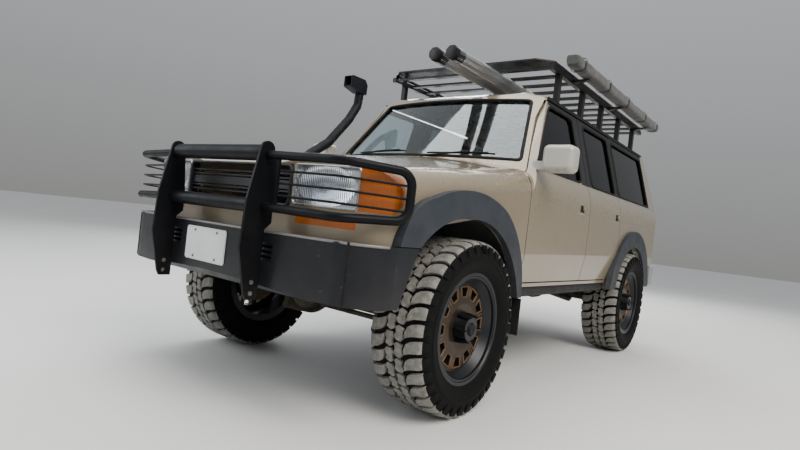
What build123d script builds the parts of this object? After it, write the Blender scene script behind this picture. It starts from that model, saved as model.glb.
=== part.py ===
"""A lifted off-road 4x4: a boxy station wagon on large mud tyres.

Lengths are millimetres.  The vehicle faces -Y, its left side is +X and the floor that it
stands on is Z = 0.  The origin lies on the floor below the middle of the whole length.
"""
from build123d import *
from math import atan2, cos, degrees, pi, radians, sin, sqrt
import os

os.makedirs("parts", exist_ok=True)

# Stance
wheelbase = 2850
track = 1592
front_reach = 1000
rear_reach = 1045
sill_over_axle = 185

# Tyres and rims
tyre_radius = 444
tyre_width = 318
bead_radius = 254
rim_width = 252
rim_lip_radius = 283
fit_clearance = 0.3

# Places along the vehicle, measured back from the front axle
nose_back = -805
nose_corner_back = -560
bonnet_front_back = -738
bonnet_rear_back = 520
cowl_back = 600
windscreen_base_back = 560
windscreen_top_back = 965
front_door_back = 600
front_door_top_back = 1075
rear_door_back = 1640
quarter_back = 2400
tail_back = 3765
roof_front_back = 1500
roof_tail_back = 3585

# Heights over the bottom edge of the bodywork
crease_rise = 241
shoulder_rise = 560
belt_rise = 716
gutter_rise = 1258
roof_rise = 1374
nose_shoulder_rise = 385
nose_edge_rise = 500
nose_crown_rise = 538
cowl_edge_rise = 706
cowl_crown_rise = 768
windscreen_top_rise = 1254
hatch_top_rise = 1338
floor_rise = 100
floor_thickness = 30
panel_seam = 4
roof_seam_rise = 1242
tailgate_rise = 235

# Door mirrors
mirror_half = 1098
mirror_width = 190
mirror_height = 160
mirror_depth = 104
mirror_back = 652
mirror_rise = 786
glass_inset = 14

# Cowl, firewall and engine bay
edge_inset = 118
firewall_back = 560
apron_rise = 160
cabin_front_back = 555
cowl_run_on = 300
bay_half = 470
bay_nose_depth = 60
screen_frame_depth = 45

sill_width = 92
rear_wheelhouse_half = 600

# Windscreen
screen_half_base = 752
screen_half_top = 622
screen_base_rise = 772
screen_top_rise = 1232
window_corner = 45
screen_bow_radius = 2080
screen_lean = 0.82

# Half widths of the bodywork
half_base = 866
half_waist = 905
half_shoulder = 900
half_belt = 860
half_gutter = 706
half_bonnet = 742
nose_half_waist = 893

# Walls and gaps
door_thickness = 88
frame_thickness = 46
roof_thickness = 34
panel_thickness = 30
glass_thickness = 5
shut_gap = 8
door_skin = 8
door_rebate = 12

# Door and window outlines: rises over the bottom edge, and insets of the windows
door_bottom_rise = 30
door_top_rise = 1238
window_bottom_rise = 738
window_top_rise = 1206
front_window_back = 722
front_window_top_back = 1092
front_window_end_back = 1520
rear_window_back = 1742
rear_window_end_back = 2340
cargo_window_back = 2452
cargo_window_end_back = 3440
hatch_bottom_rise = 722
pillar_depth = 96
bonnet_swing = 50
door_swing = 68
hatch_swing = 80
tailgate_swing = 88

# Tail: the hatch over the tailgate, and their windows, seen from behind
hatch_half_low = 772
hatch_half_top = 666
hatch_top_edge_rise = 1225
hatch_front_back = 3480
hatch_window_inset = 62
tailgate_half = 716

# Lamps and grille: half widths and rises
grille_half = 402
grille_low_rise = 318
grille_high_rise = 508
headlamp_inner = 414
headlamp_outer = 770
headlamp_low_rise = 330
headlamp_high_rise = 512
corner_lamp_back = -600
corner_lamp_slope = 46
marker_inner = 446
marker_outer = 770
marker_low_rise = 250
marker_high_rise = 308
lamp_depth = 62
tail_lamp_half = 732
tail_lamp_low_rise = 330
tail_lamp_high_rise = 640

# Wheel arches
arch_height = 470
front_arch_offset = 20
# The front arch runs on to the bumper's end: places behind the axle and rises
front_arch_corners = ((-640, -100), (-598, 0), (-510, 204), (-330, 310), (-90, 350), (0, -100))
front_flare_outer = ((-640, 206), (-575, 345), (-420, 430), (-60, 495), (260, 425), (470, 225), (550, -49))
front_flare_inner = ((-500, 206), (-330, 318), (-90, 358), (345, 205), (497, -49))
front_arch_radius = 520
rear_arch_radius = 480
liner_thickness = 14
rear_flare_radius = 622
flare_half = 930
flare_inset = 22
door_inner_limit = 600

# Grille, bumpers and brush guard
grille_frame = 11
grille_depth = 34
grille_bar_height = 38
grille_slat_height = 7
grille_slat_pitch = 20
bumper_rear_back = -500
rear_bumper_front_back = 3560
rear_bumper_reach = 130
plate_rise = 92
plate_x = -50
plate_width = 325
plate_height = 162
plate_thickness = 3
guard_kink_z = 812
flare_foot_drop = 110
flap_bottom_z = 360
flap_back = 552
flap_thickness = 8
flap_inner = 646
sill_height = 62
sill_length = 1590
snorkel_bend = 70
bumper_reach = 88
bumper_half = 926
bumper_top_rise = 202
bumper_bottom_rise = -54
bumper_wall = 78
bumper_side_wall = 46
bumper_bow = 46
bumper_corner = 190
vent_x = 355
vent_width = 150
vent_height = 78
vent_rise = 112
guard_half = 358
guard_plate = 12
guard_top_radius = 36
guard_mid_radius = 32
guard_loop_radius = 19
guard_bar_radius = 5
guard_top_z = 1166
guard_mid_z = 934
guard_foot_z = 529
loop_half = 935
loop_back = -620
guard_bend_x = 780
guard_bend_back = -875
guard_flat_width = 30
guard_bolt_radius = 11
guard_tube_reach = 905
rear_bumper_half = 905
rear_bumper_top_rise = 150
rear_bumper_bottom_rise = -40

# Roof rack and what it carries
rack_half = 690
rack_floor_rise = 1488
slat_thickness = 16
rack_rail_rise = 1531
rack_front_back = 1062
rack_rear_back = 3440
rack_plate_depth = 170
rack_rail_size = 36
rack_tube_radius = 14
rack_slat_count = 12
gutter_reach = 18
gutter_half_height = 9
gutter_front_back = 1090
gutter_rear_back = 3500
rack_foot_width = 44
rack_foot_backs = (1275, 1763, 2223, 2710, 3179)
awning_bracket_backs = (1500, 2350, 3200)
rod_tube_radius = 48
rod_tube_spacing = 133
rod_tube_x = 216
rod_tube_front_back = 495
rod_cap_length = 118
rod_tube_length = 2450
awning_width = 122
awning_height = 106
awning_x = 800
awning_front_back = 1205
awning_length = 2350
awning_rise = 1500

# Snorkel
snorkel_radius = 36

# Ladder frame
rail_half_spacing = 380
rail_width = 70
rail_height = 120
rail_bottom = 560
frame_rear_back = 3700
cross_member_backs = (-640, 620, 1500, 2150, 3520)
body_mount_backs = (760, 1900, 3450)
spring_half = 470
tower_z = 700

# Axles and steering
king_pin_half = 664
hub_plane = 736
spindle_end = 780
spindle_radius = 28
knuckle_depth = 92
diff_radius = 128
pinion_rise = 18
pinion_reach = 250
spring_radius = 62
spring_wire = 8
spring_turns = 5
damper_half = 430
damper_offset = 130
damper_radius = 26
damper_rise = 110
arm_half = 375
pin_radius = 10
pin_clearance = 1.5
prop_radius = 36
engine_back = -60
engine_z = 880
gearbox_z = 596
pipe_z = 652
pipe_radius = 25
muffler_radius = 60
dash_half = 735
wheel_x = 370
hub_face = -54
brake_radius = 156
disc_face = 78
disc_thickness = 36
hub_reach = 62
window_count = 12
window_inner = 150
window_outer = 206
window_web = 34
face_radius = 220
swivel_radius = 58
axle_tube_radius = 45
front_diff_x = -250
rear_diff_x = 0
steering_arm_length = 170
tie_rod_drop = 105

# Places worked out from the driving dimensions
front_axle_y = (front_reach - wheelbase - rear_reach) / 2
frame_front_back = nose_back + 65
rear_axle_y = front_axle_y + wheelbase
base_z = tyre_radius + sill_over_axle
half_track = track / 2
outside = half_waist + 200
seat_rows = (
    # middle across, middle behind the front axle, width
    (370, 1330, 500),
    (-370, 1330, 500),
    (0, 2160, 1240),
)
snorkel_stations = (
    # across, behind the front axle, over the bottom edge
    (-912, 300, 560),
    (-912, 470, 745),
    (-872, 620, 865),
    (-822, 770, 1080),
    (-806, 835, 1210),
    (-806, 842, 1320),
)


def behind(distance):
    """Y of a place that lies this far behind the front axle."""
    return front_axle_y + distance


def above(rise):
    """Z of a place that lies this far above the bottom edge of the bodywork."""
    return base_z + rise


def across(distance):
    """The plane across the vehicle at this distance behind the front axle."""
    return Plane.XZ.offset(-behind(distance))


snorkel_path = [(x, behind(back), above(rise)) for x, back, rise in snorkel_stations]

# Bodywork: one outer form, from which the panels are parted

# Sections of the nose: place, half base, half waist, half shoulder, shoulder, edge and crown rises
nose_sections = (
    (nose_back - 45, half_base - 14, nose_half_waist, nose_half_waist - 4,
     nose_shoulder_rise, nose_edge_rise, nose_crown_rise),
    (cowl_back, half_base, half_waist, half_shoulder,
     shoulder_rise, cowl_edge_rise, cowl_crown_rise),
)


def nose_outline(place, base, waist, shoulder, shoulder_up, edge_up, crown_up):
    """A closed section of the nose, this far behind the front axle."""
    with BuildSketch(across(place)) as section:
        with BuildLine():
            edge = (waist - edge_inset, above(edge_up))
            Polyline((0, base_z), (base, base_z), (waist, above(crease_rise)), (shoulder, above(shoulder_up)))
            TangentArc((shoulder, above(shoulder_up)), edge, tangent=(0, 1))
            TangentArc((0, above(crown_up)), edge, tangent=(1, 0))
            mirror(about=Plane.YZ)
        make_face()
    return section.sketch


def cabin_outline(place, low, base, waist, shoulder, belt_half, gutter_half, roof_up):
    """A closed section of the cabin, this far behind the front axle."""
    with BuildSketch(across(place)) as section:
        with BuildLine():
            belt = (belt_half, above(belt_rise))
            gutter = (gutter_half, above(gutter_rise))
            Polyline((0, above(low)), (base, above(low)), (waist, above(crease_rise)),
                     (shoulder, above(shoulder_rise)))
            TangentArc((shoulder, above(shoulder_rise)), belt, tangent=(0, 1))
            Line(belt, gutter)
            TangentArc((0, above(roof_up)), gutter, tangent=(1, 0))
            mirror(about=Plane.YZ)
        make_face()
    return section.sketch


# The bowed, raked windscreen cuts off what lies before it, over the bonnet
with BuildPart() as screen_cut:
    for rise in (cowl_crown_rise - 240, roof_rise + 60):
        middle = behind(windscreen_base_back + screen_lean * (rise - cowl_crown_rise))
        bow = screen_bow_radius - sqrt(screen_bow_radius ** 2 - outside ** 2)
        with BuildSketch(Plane.XY.offset(above(rise))):
            with BuildLine():
                ThreePointArc((-outside, middle + bow), (0, middle), (outside, middle + bow))
                Polyline((outside, middle + bow), (outside, middle - 1500), (-outside, middle - 1500),
                         (-outside, middle + bow))
            make_face()
    loft(ruled=True)

with BuildPart() as body_form:
    add(cabin_outline(cabin_front_back, 0, half_base, half_waist, half_shoulder, half_belt, half_gutter, roof_rise))
    extrude(amount=tail_back - cabin_front_back, dir=(0, 1, 0))
    add(screen_cut.part, mode=Mode.SUBTRACT)
    # The cowl runs on under the windscreen
    add(nose_outline(*nose_sections[1]))
    extrude(amount=cowl_run_on, dir=(0, 1, 0))
    for sizes in nose_sections:
        add(nose_outline(*sizes))
    loft(ruled=True)
    # Silhouette from the side: nose, bonnet, roof and tail
    with BuildSketch(Plane.YZ):
        with BuildLine():
            brow = (behind(nose_back + 5), above(nose_edge_rise - 12))
            bonnet_roll = (behind(nose_back + 115), above(nose_edge_rise + 72))
            header = (behind(windscreen_top_back), above(windscreen_top_rise))
            roof_front = (behind(roof_front_back), above(roof_rise))
            roof_rear = (behind(roof_tail_back - 300), above(roof_rise))
            hatch_top = (behind(roof_tail_back), above(hatch_top_rise))
            Polyline((behind(nose_back + 200), base_z), (behind(nose_back + 90), above(150)),
                     (behind(nose_back), above(200)), brow)
            TangentArc(brow, bonnet_roll, tangent=(0, 1))
            Polyline(bonnet_roll, (behind(bonnet_rear_back), above(cowl_crown_rise + 60)), header)
            TangentArc(roof_front, header, tangent=(-1, 0))
            Line(roof_front, roof_rear)
            TangentArc(roof_rear, hatch_top, tangent=(1, 0))
            Polyline(hatch_top, (behind(tail_back - 22), above(belt_rise)),
                     (behind(tail_back), above(shoulder_rise)), (behind(tail_back), above(tailgate_rise)),
                     (behind(tail_back - 20), base_z), (behind(nose_back + 200), base_z))
        make_face()
    extrude(amount=outside, both=True, mode=Mode.INTERSECT)
    # Outline from above: the bowed nose and tail with their round corners
    with BuildSketch(Plane.XY):
        with BuildLine():
            for end, corner, bow, half_end, half_side in (
                (nose_back, nose_corner_back, 40, 700, nose_half_waist + 3),
                (tail_back, tail_back - 165, -24, 740, half_waist + 1),
            ):
                ThreePointArc((-half_end, behind(end + bow)), (0, behind(end)),
                              (half_end, behind(end + bow)))
                for side in (1, -1):
                    TangentArc((side * half_side, behind(corner)), (side * half_end, behind(end + bow)),
                               tangent=(0, end - corner))
            for side in (1, -1):
                Line((side * (nose_half_waist + 3), behind(nose_corner_back)),
                     (side * (half_waist + 1), behind(tail_back - 165)))
        make_face()
    extrude(amount=above(roof_rise) + 10, mode=Mode.INTERSECT)

# The space inside the cabin, from the floor to the head lining
with BuildPart() as cabin_space:
    add(cabin_outline(firewall_back, floor_rise + floor_thickness, half_waist - door_thickness,
                      half_waist - door_thickness, half_shoulder - door_thickness,
                      half_belt - frame_thickness, half_gutter - frame_thickness,
                      roof_rise - roof_thickness))
    extrude(amount=tail_back - door_thickness - firewall_back, dir=(0, 1, 0))
    with Locations((0, screen_frame_depth, 0)):
        add(screen_cut.part, mode=Mode.SUBTRACT)
    with BuildSketch(Plane.YZ):
        with BuildLine():
            lining_front = (behind(roof_front_back), above(roof_rise - roof_thickness))
            lining_header = (behind(windscreen_top_back), above(windscreen_top_rise - roof_thickness))
            lining_rear = (behind(roof_tail_back - 330), above(roof_rise - roof_thickness))
            lining_tail = (behind(roof_tail_back - 60), above(hatch_top_rise - 60))
            TangentArc(lining_front, lining_header, tangent=(-1, 0))
            Polyline(lining_front, lining_rear, lining_tail,
                     (behind(tail_back - door_thickness + 20), above(belt_rise - 80)),
                     (behind(tail_back - door_thickness + 20), base_z), (behind(firewall_back - 50), base_z),
                     (behind(firewall_back - 50), above(cowl_edge_rise)), lining_header)
        make_face()
    extrude(amount=outside, both=True, mode=Mode.INTERSECT)

# The engine bay, open below, between the inner aprons and under the bonnet
with BuildPart() as engine_bay:
    for place, base, waist, shoulder, shoulder_up, edge_up, crown_up in nose_sections:
        add(nose_outline(place, bay_half, bay_half, bay_half, shoulder_up - panel_thickness,
                         edge_up - panel_thickness, crown_up - panel_thickness))
    loft(ruled=True)
    with BuildSketch(Plane.YZ):
        with Locations((behind((nose_back + bay_nose_depth + firewall_back - floor_thickness) / 2), above(300))):
            Rectangle(firewall_back - floor_thickness - nose_back - bay_nose_depth, 1400)
    extrude(amount=outside, both=True, mode=Mode.INTERSECT)

# Room for the ladder frame under the floor, and for the wheels
with BuildPart() as underbody:
    with BuildSketch(Plane.XY.offset(base_z - 10)):
        with Locations((0, behind((nose_back + tail_back) / 2))):
            Rectangle(2 * (half_base - sill_width), tail_back - nose_back - 2 * bay_nose_depth)
    extrude(amount=floor_rise + 10)
    with BuildSketch(Plane.XY.offset(base_z - 10)):
        with Locations((0, behind((nose_back + firewall_back - floor_thickness + bay_nose_depth) / 2))):
            Rectangle(2 * (half_base - sill_width), firewall_back - floor_thickness - nose_back - bay_nose_depth)
    extrude(amount=apron_rise + 10)

with BuildPart() as arches:
    for side in (1, -1):
        for place, radius, inner in ((front_arch_offset, front_arch_radius, bay_half + liner_thickness),
                                     (wheelbase, rear_arch_radius, rear_wheelhouse_half)):
            with BuildSketch(Plane.YZ.offset(side * inner)):
                with Locations((behind(place), arch_height)):
                    Circle(radius)
                if place == front_arch_offset:
                    Polygon(*[(behind(back), above(rise)) for back, rise in front_arch_corners], align=None)
            extrude(amount=side * (outside - inner))

with BuildPart() as wheelhouses:
    for side in (1, -1):
        with BuildSketch(Plane.YZ.offset(side * (rear_wheelhouse_half - liner_thickness))):
            with Locations((behind(wheelbase), arch_height)):
                Circle(rear_arch_radius + liner_thickness)
        extrude(amount=side * (half_waist - door_thickness - rear_wheelhouse_half + 2 * liner_thickness))
    with BuildSketch(Plane.XY):
        with Locations((0, behind(wheelbase))):
            Rectangle(3 * outside, 3 * rear_arch_radius)
    extrude(amount=above(floor_rise), mode=Mode.SUBTRACT)


def slanted_window(front_low, front_high, end, low, high, plane):
    """A window outline seen from the side, with its front edge raked, on this plane."""
    with BuildSketch(plane) as outline:
        Polygon((behind(front_low), above(low)), (behind(front_high), above(high)),
                (behind(end), above(high)), (behind(end), above(low)), align=None)
        fillet(outline.vertices(), window_corner)
    return outline.sketch


# The side windows: name, front edge low and high, rear edge
side_windows = (
    ("front", front_window_back, front_window_top_back, front_window_end_back),
    ("rear", rear_window_back, rear_window_back, rear_window_end_back),
    ("cargo", cargo_window_back, cargo_window_back, cargo_window_end_back),
)


def glass_block(front_low, front_high, end, side):
    """The block that cuts a side window, or holds its glass, on one side of the vehicle."""
    with BuildPart() as block:
        add(slanted_window(front_low, front_high, end, window_bottom_rise, window_top_rise,
                           Plane.YZ.offset(side * half_gutter / 2)))
        extrude(amount=outside, dir=(side, 0, 0))
    return block.part


with BuildPart() as window_blocks:
    for _, front_low, front_high, end in side_windows:
        for side in (1, -1):
            add(glass_block(front_low, front_high, end, side))


def screen_outline(grow):
    """The windscreen's outline seen from the front, grown by this much."""
    with BuildSketch(across(windscreen_base_back - 200)) as outline:
        Polygon((-screen_half_base, above(screen_base_rise)), (screen_half_base, above(screen_base_rise)),
                (screen_half_top, above(screen_top_rise)), (-screen_half_top, above(screen_top_rise)),
                align=None)
        fillet(outline.vertices(), window_corner)
        if grow:
            offset(amount=grow)
    return outline.sketch


with BuildPart() as screen_block:
    add(screen_outline(0))
    extrude(amount=900, dir=(0, 1, 0))
    with BuildSketch(Plane.XY.offset(above(cowl_edge_rise))):
        with Locations((0, behind(roof_front_back + 500))):
            Rectangle(3 * outside, 1000)
    extrude(amount=1000, mode=Mode.SUBTRACT)

with BuildPart() as walls:
    add(body_form.part)
    add(cabin_space.part, mode=Mode.SUBTRACT)
    add(wheelhouses.part)
    add(body_form.part, mode=Mode.INTERSECT)
    add(underbody.part, mode=Mode.SUBTRACT)
    add(arches.part, mode=Mode.SUBTRACT)
    add(engine_bay.part, mode=Mode.SUBTRACT)
    add(window_blocks.part, mode=Mode.SUBTRACT)
    add(screen_block.part, mode=Mode.SUBTRACT)


def door_core(grow):
    """The space between the inner faces of the doors, less the gap round them."""
    with BuildPart() as core:
        add(cabin_outline(cabin_front_back, -floor_rise, half_waist - door_thickness - grow,
                          half_waist - door_thickness - grow, half_shoulder - door_thickness - grow,
                          half_belt - frame_thickness - grow, half_gutter - frame_thickness - grow,
                          roof_rise - roof_thickness))
        extrude(amount=tail_back - cabin_front_back, dir=(0, 1, 0))
    return core.part


def side_block(corners, side, grow=0.0):
    """A block that parts a panel from the side wall: its outline seen from the side."""
    with BuildPart() as block:
        with BuildSketch(Plane.YZ.offset(side * door_inner_limit)):
            Polygon(*[(behind(back), above(rise)) for back, rise in corners], align=None)
            if grow:
                offset(amount=grow, kind=Kind.INTERSECTION)
        extrude(amount=outside, dir=(side, 0, 0))
    return block.part


front_door_corners = (
    (front_door_back, door_bottom_rise),
    (front_door_back, belt_rise - 46),
    (front_door_back + 62, belt_rise + 12),
    (front_door_top_back, door_top_rise),
    (rear_door_back - shut_gap, door_top_rise),
    (rear_door_back - shut_gap, door_bottom_rise),
)
rear_door_corners = (
    (rear_door_back, door_bottom_rise),
    (rear_door_back, door_top_rise),
    (quarter_back, door_top_rise),
    (quarter_back, door_bottom_rise),
)


def arch_disc(radius, side):
    """A disc as wide as the side wall about the rear wheel arch."""
    with BuildPart() as disc:
        with BuildSketch(Plane.YZ.offset(side * door_inner_limit)):
            with Locations((behind(wheelbase), arch_height)):
                Circle(radius)
        extrude(amount=outside, dir=(side, 0, 0))
    return disc.part


def inset_cabin(inset, low):
    """A closed section of the cabin, inset by this much from its outer form."""
    return cabin_outline(cabin_front_back, low, half_base - inset, half_waist - inset, half_shoulder - inset,
                         half_belt - inset, half_gutter - inset, roof_rise - inset)


# What lies deeper than the outer skins of the doors, and of the hatch and tailgate
with BuildPart() as side_skin_back:
    add(inset_cabin(door_skin, 0))
    extrude(amount=tail_back - cabin_front_back, dir=(0, 1, 0))
with BuildPart() as tail_skin_back:
    with Locations((0, -door_skin, 0)):
        add(body_form.part)

# The holes that the doors fill, with their shut gaps
door_holes = []
hole_core = door_core(shut_gap)
for side in (1, -1):
    for corners in (front_door_corners, rear_door_corners):
        with BuildPart() as door_hole:
            add(side_block(corners, side, shut_gap))
            add(arch_disc(rear_flare_radius, side), mode=Mode.SUBTRACT)
            add(hole_core, mode=Mode.SUBTRACT)
        door_holes.append(door_hole.part)


def bonnet_outline(grow):
    """The bonnet's outline seen from above, grown by the gap round it."""
    with BuildSketch(Plane.XY.offset(above(nose_shoulder_rise))) as outline:
        with BuildLine():
            front = behind(bonnet_front_back)
            rear = behind(bonnet_rear_back)
            ThreePointArc((-half_bonnet, front + 34), (0, front), (half_bonnet, front + 34))
            Polyline((half_bonnet, front + 34), (half_bonnet, rear), (-half_bonnet, rear),
                     (-half_bonnet, front + 34))
        make_face()
        if grow:
            offset(amount=grow, kind=Kind.INTERSECTION)
    return outline.sketch


with BuildPart() as bonnet:
    add(bonnet_outline(0))
    extrude(amount=roof_rise, dir=(0, 0, 1))
    add(body_form.part, mode=Mode.INTERSECT)
    with Locations((0, 0, -panel_thickness)):
        add(body_form.part, mode=Mode.SUBTRACT)
bonnet.part.label = "bonnet"
export_step(bonnet.part, "parts/bonnet.step")

with BuildPart() as bonnet_space:
    add(bonnet_outline(shut_gap))
    extrude(amount=roof_rise, dir=(0, 0, 1))
    with Locations((0, 0, -panel_thickness - shut_gap)):
        add(body_form.part, mode=Mode.SUBTRACT)


def lamp_block(low, high, inner, outer, front, rear, side):
    """The block of a lamp: rises, half widths and places."""
    with BuildPart() as block:
        with BuildSketch(Plane.XY.offset(above(low))):
            with Locations((side * (inner + outer) / 2, behind((front + rear) / 2))):
                Rectangle(outer - inner, rear - front)
        extrude(amount=high - low, dir=(0, 0, 1))
    return block.part


# Lamps take the outer form of the bodywork: name, rises, half widths, places
lamp_rows = (
    ("headlamps", ((headlamp_low_rise, headlamp_high_rise, headlamp_inner, headlamp_outer,
                    nose_back - 40, nose_back + lamp_depth + 30),)),
    ("amber_lamps", ((headlamp_low_rise, headlamp_high_rise, headlamp_outer, outside,
                      nose_back - 40, corner_lamp_back),
                     (marker_low_rise, marker_high_rise, marker_inner, marker_outer,
                      nose_back - 40, nose_back + lamp_depth + 30))),
    ("tail_lamps", ((tail_lamp_low_rise, tail_lamp_high_rise, tail_lamp_half, outside,
                     tail_back - 72, tail_back + 20),)),
)
# The corner lamps narrow to their rear ends
with BuildPart() as corner_lamp_cut:
    with BuildSketch(Plane.YZ):
        tip = behind(corner_lamp_back + 1)
        Polygon((tip, above(headlamp_low_rise - 1)), (tip, above(headlamp_low_rise + corner_lamp_slope)),
                (behind(corner_lamp_back - corner_lamp_slope), above(headlamp_low_rise - 1)), align=None)
        Polygon((tip, above(headlamp_high_rise + 1)), (tip, above(headlamp_high_rise - 30)),
                (behind(corner_lamp_back - 2 * corner_lamp_slope), above(headlamp_high_rise + 1)), align=None)
    extrude(amount=outside, both=True)

lamps = {}
for name, rows in lamp_rows:
    with BuildPart() as lamp:
        for low, high, inner, outer, front, rear in rows:
            for side in (1, -1):
                add(lamp_block(low, high, inner, outer, front, rear, side))
        if name == "amber_lamps":
            add(corner_lamp_cut.part, mode=Mode.SUBTRACT)
        add(body_form.part, mode=Mode.INTERSECT)
        add(bonnet_space.part, mode=Mode.SUBTRACT)
    lamp.part.label = name
    export_step(lamp.part, f"parts/{name}.step")
    lamps[name] = lamp.part

# The front clip: both wings, the headlamp panel and the cowl's edge
with BuildPart() as front_wings:
    with BuildSketch(Plane.XY):
        with Locations((0, behind((nose_back - 100 + front_door_back - shut_gap) / 2))):
            Rectangle(3 * outside, front_door_back - shut_gap - nose_back + 100)
        with Locations((0, behind(bonnet_rear_back + 200))):
            Rectangle(2 * half_bonnet, 400, mode=Mode.SUBTRACT)
    extrude(amount=above(roof_rise))
    add(walls.part, mode=Mode.INTERSECT)
    add(bonnet_space.part, mode=Mode.SUBTRACT)
    for lamp in lamps.values():
        add(lamp, mode=Mode.SUBTRACT)
    # Mouth behind the grille
    with BuildSketch(across(nose_back - 60)):
        with Locations((0, above((grille_low_rise + grille_high_rise) / 2))):
            Rectangle(2 * grille_half, grille_high_rise - grille_low_rise)
    extrude(amount=200, dir=(0, 1, 0), mode=Mode.SUBTRACT)
front_wings.part.label = "front_wings"
export_step(front_wings.part, "parts/front_wings.step")

hatch_corners = (
    (-hatch_half_low, above(hatch_bottom_rise)), (hatch_half_low, above(hatch_bottom_rise)),
    (hatch_half_top, above(hatch_top_edge_rise)), (-hatch_half_top, above(hatch_top_edge_rise)),
)


def hatch_block(grow, radius):
    """The block of the hatch seen from behind, grown or shrunk, with round corners."""
    with BuildPart() as block:
        with BuildSketch(across(hatch_front_back)) as outline:
            Polygon(*hatch_corners, align=None)
            if grow:
                offset(amount=grow, kind=Kind.INTERSECTION)
            if radius:
                fillet(outline.vertices(), radius)
        extrude(amount=500, dir=(0, 1, 0))
    return block.part


def tailgate_block(grow):
    """The block of the tailgate seen from behind, grown by the gap round it."""
    height = hatch_bottom_rise - shut_gap - tailgate_rise
    with BuildPart() as block:
        with BuildSketch(across(hatch_front_back)):
            with Locations((0, above(tailgate_rise + height / 2))):
                Rectangle(2 * (tailgate_half + grow), height + 2 * grow)
        extrude(amount=500, dir=(0, 1, 0))
    return block.part


# The hatch and the tailgate are smaller inside their skins too
with BuildPart() as tail_rim:
    add(hatch_block(0, 0))
    add(tailgate_block(0))
    add(hatch_block(-door_rebate, 0), mode=Mode.SUBTRACT)
    add(tailgate_block(-door_rebate), mode=Mode.SUBTRACT)
    add(tail_skin_back.part, mode=Mode.INTERSECT)

with BuildPart() as hatch:
    add(walls.part)
    add(hatch_block(0, 0), mode=Mode.INTERSECT)
    add(tail_rim.part, mode=Mode.SUBTRACT)
    add(hatch_block(-hatch_window_inset, window_corner), mode=Mode.SUBTRACT)
hatch.part.label = "hatch"
export_step(hatch.part, "parts/hatch.step")

with BuildPart() as tailgate:
    add(walls.part)
    add(tailgate_block(0), mode=Mode.INTERSECT)
    add(tail_rim.part, mode=Mode.SUBTRACT)
tailgate.part.label = "tailgate"
export_step(tailgate.part, "parts/tailgate.step")

# The cabin: floor, pillars, roof, rear quarters and firewall
with BuildPart() as cabin_shell:
    with BuildSketch(Plane.XY):
        with Locations((0, behind((front_door_back - shut_gap + tail_back + 100) / 2))):
            Rectangle(3 * outside, tail_back + 100 - front_door_back + shut_gap)
        with Locations((0, behind(bonnet_rear_back + shut_gap + 100))):
            Rectangle(2 * half_bonnet, 200)
    extrude(amount=above(roof_rise) + 10)
    add(walls.part, mode=Mode.INTERSECT)
    for hole in door_holes:
        add(hole, mode=Mode.SUBTRACT)
    add(hatch_block(shut_gap, 0), mode=Mode.SUBTRACT)
    add(tailgate_block(shut_gap), mode=Mode.SUBTRACT)
    add(lamps["tail_lamps"], mode=Mode.SUBTRACT)
    add(bonnet_space.part, mode=Mode.SUBTRACT)
    # Rain gutters, which carry the feet of the roof rack
    for side in (1, -1):
        with BuildSketch(across(gutter_front_back)):
            with Locations((side * (half_gutter - 6), above(gutter_rise))):
                Rectangle(2 * gutter_reach, 2 * gutter_half_height)
        extrude(amount=gutter_rear_back - gutter_front_back, dir=(0, 1, 0))

# Its panels: name, and the rises between which each of them lies
panel_rows = (
    ("floor_pan", -floor_rise, floor_rise + floor_thickness + panel_seam),
    ("body_shell", floor_rise + floor_thickness + panel_seam, roof_seam_rise),
    ("roof_panel", roof_seam_rise, roof_rise + floor_rise),
)
for name, low, high in panel_rows:
    with BuildPart() as panel:
        with BuildSketch(Plane.XY.offset(above(low))):
            with Locations((0, behind((front_door_back + tail_back) / 2))):
                Rectangle(3 * outside, 2 * tail_back)
        extrude(amount=high - low)
        add(cabin_shell.part, mode=Mode.INTERSECT)
    panel.part.label = name
    export_step(panel.part, f"parts/{name}.step")

# The four doors
door_rows = (
    ("fl", 1, front_door_corners), ("fr", -1, front_door_corners),
    ("rl", 1, rear_door_corners), ("rr", -1, rear_door_corners),
)
doors = {}
door_inside = door_core(0)
for name, side, corners in door_rows:
    # Inside its skin a door is narrower, so that its edge clears the pillar as it swings
    with BuildPart() as door_rim:
        add(side_block(corners, side))
        add(side_block(corners, side, -door_rebate), mode=Mode.SUBTRACT)
        if corners is rear_door_corners:
            add(arch_disc(rear_flare_radius + shut_gap + door_rebate, side))
        add(side_skin_back.part, mode=Mode.INTERSECT)
    with BuildPart() as door:
        add(walls.part)
        add(side_block(corners, side), mode=Mode.INTERSECT)
        add(door_inside, mode=Mode.SUBTRACT)
        if corners is rear_door_corners:
            add(arch_disc(rear_flare_radius + shut_gap, side), mode=Mode.SUBTRACT)
        add(door_rim.part, mode=Mode.SUBTRACT)
    door.part.label = f"door_{name}"
    export_step(door.part, f"parts/door_{name}.step")
    doors[name] = door.part

# Side glass lies a little inside the outer form
with BuildPart() as side_glass:
    add(inset_cabin(glass_inset, floor_rise))
    extrude(amount=tail_back - cabin_front_back, dir=(0, 1, 0))
    add(inset_cabin(glass_inset + glass_thickness, 0))
    extrude(amount=tail_back - cabin_front_back, dir=(0, 1, 0), mode=Mode.SUBTRACT)

# Side glass: name, the windows and sides that it holds
windows = {name: places for name, *places in side_windows}
glass_rows = (
    ("glass_fl", "front", (1,)), ("glass_fr", "front", (-1,)),
    ("glass_rl", "rear", (1,)), ("glass_rr", "rear", (-1,)), ("glass_cargo", "cargo", (1, -1)),
)
for name, window, sides in glass_rows:
    with BuildPart() as glass:
        for side in sides:
            add(glass_block(*windows[window], side))
        add(side_glass.part, mode=Mode.INTERSECT)
    glass.part.label = name
    export_step(glass.part, f"parts/{name}.step")

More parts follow.
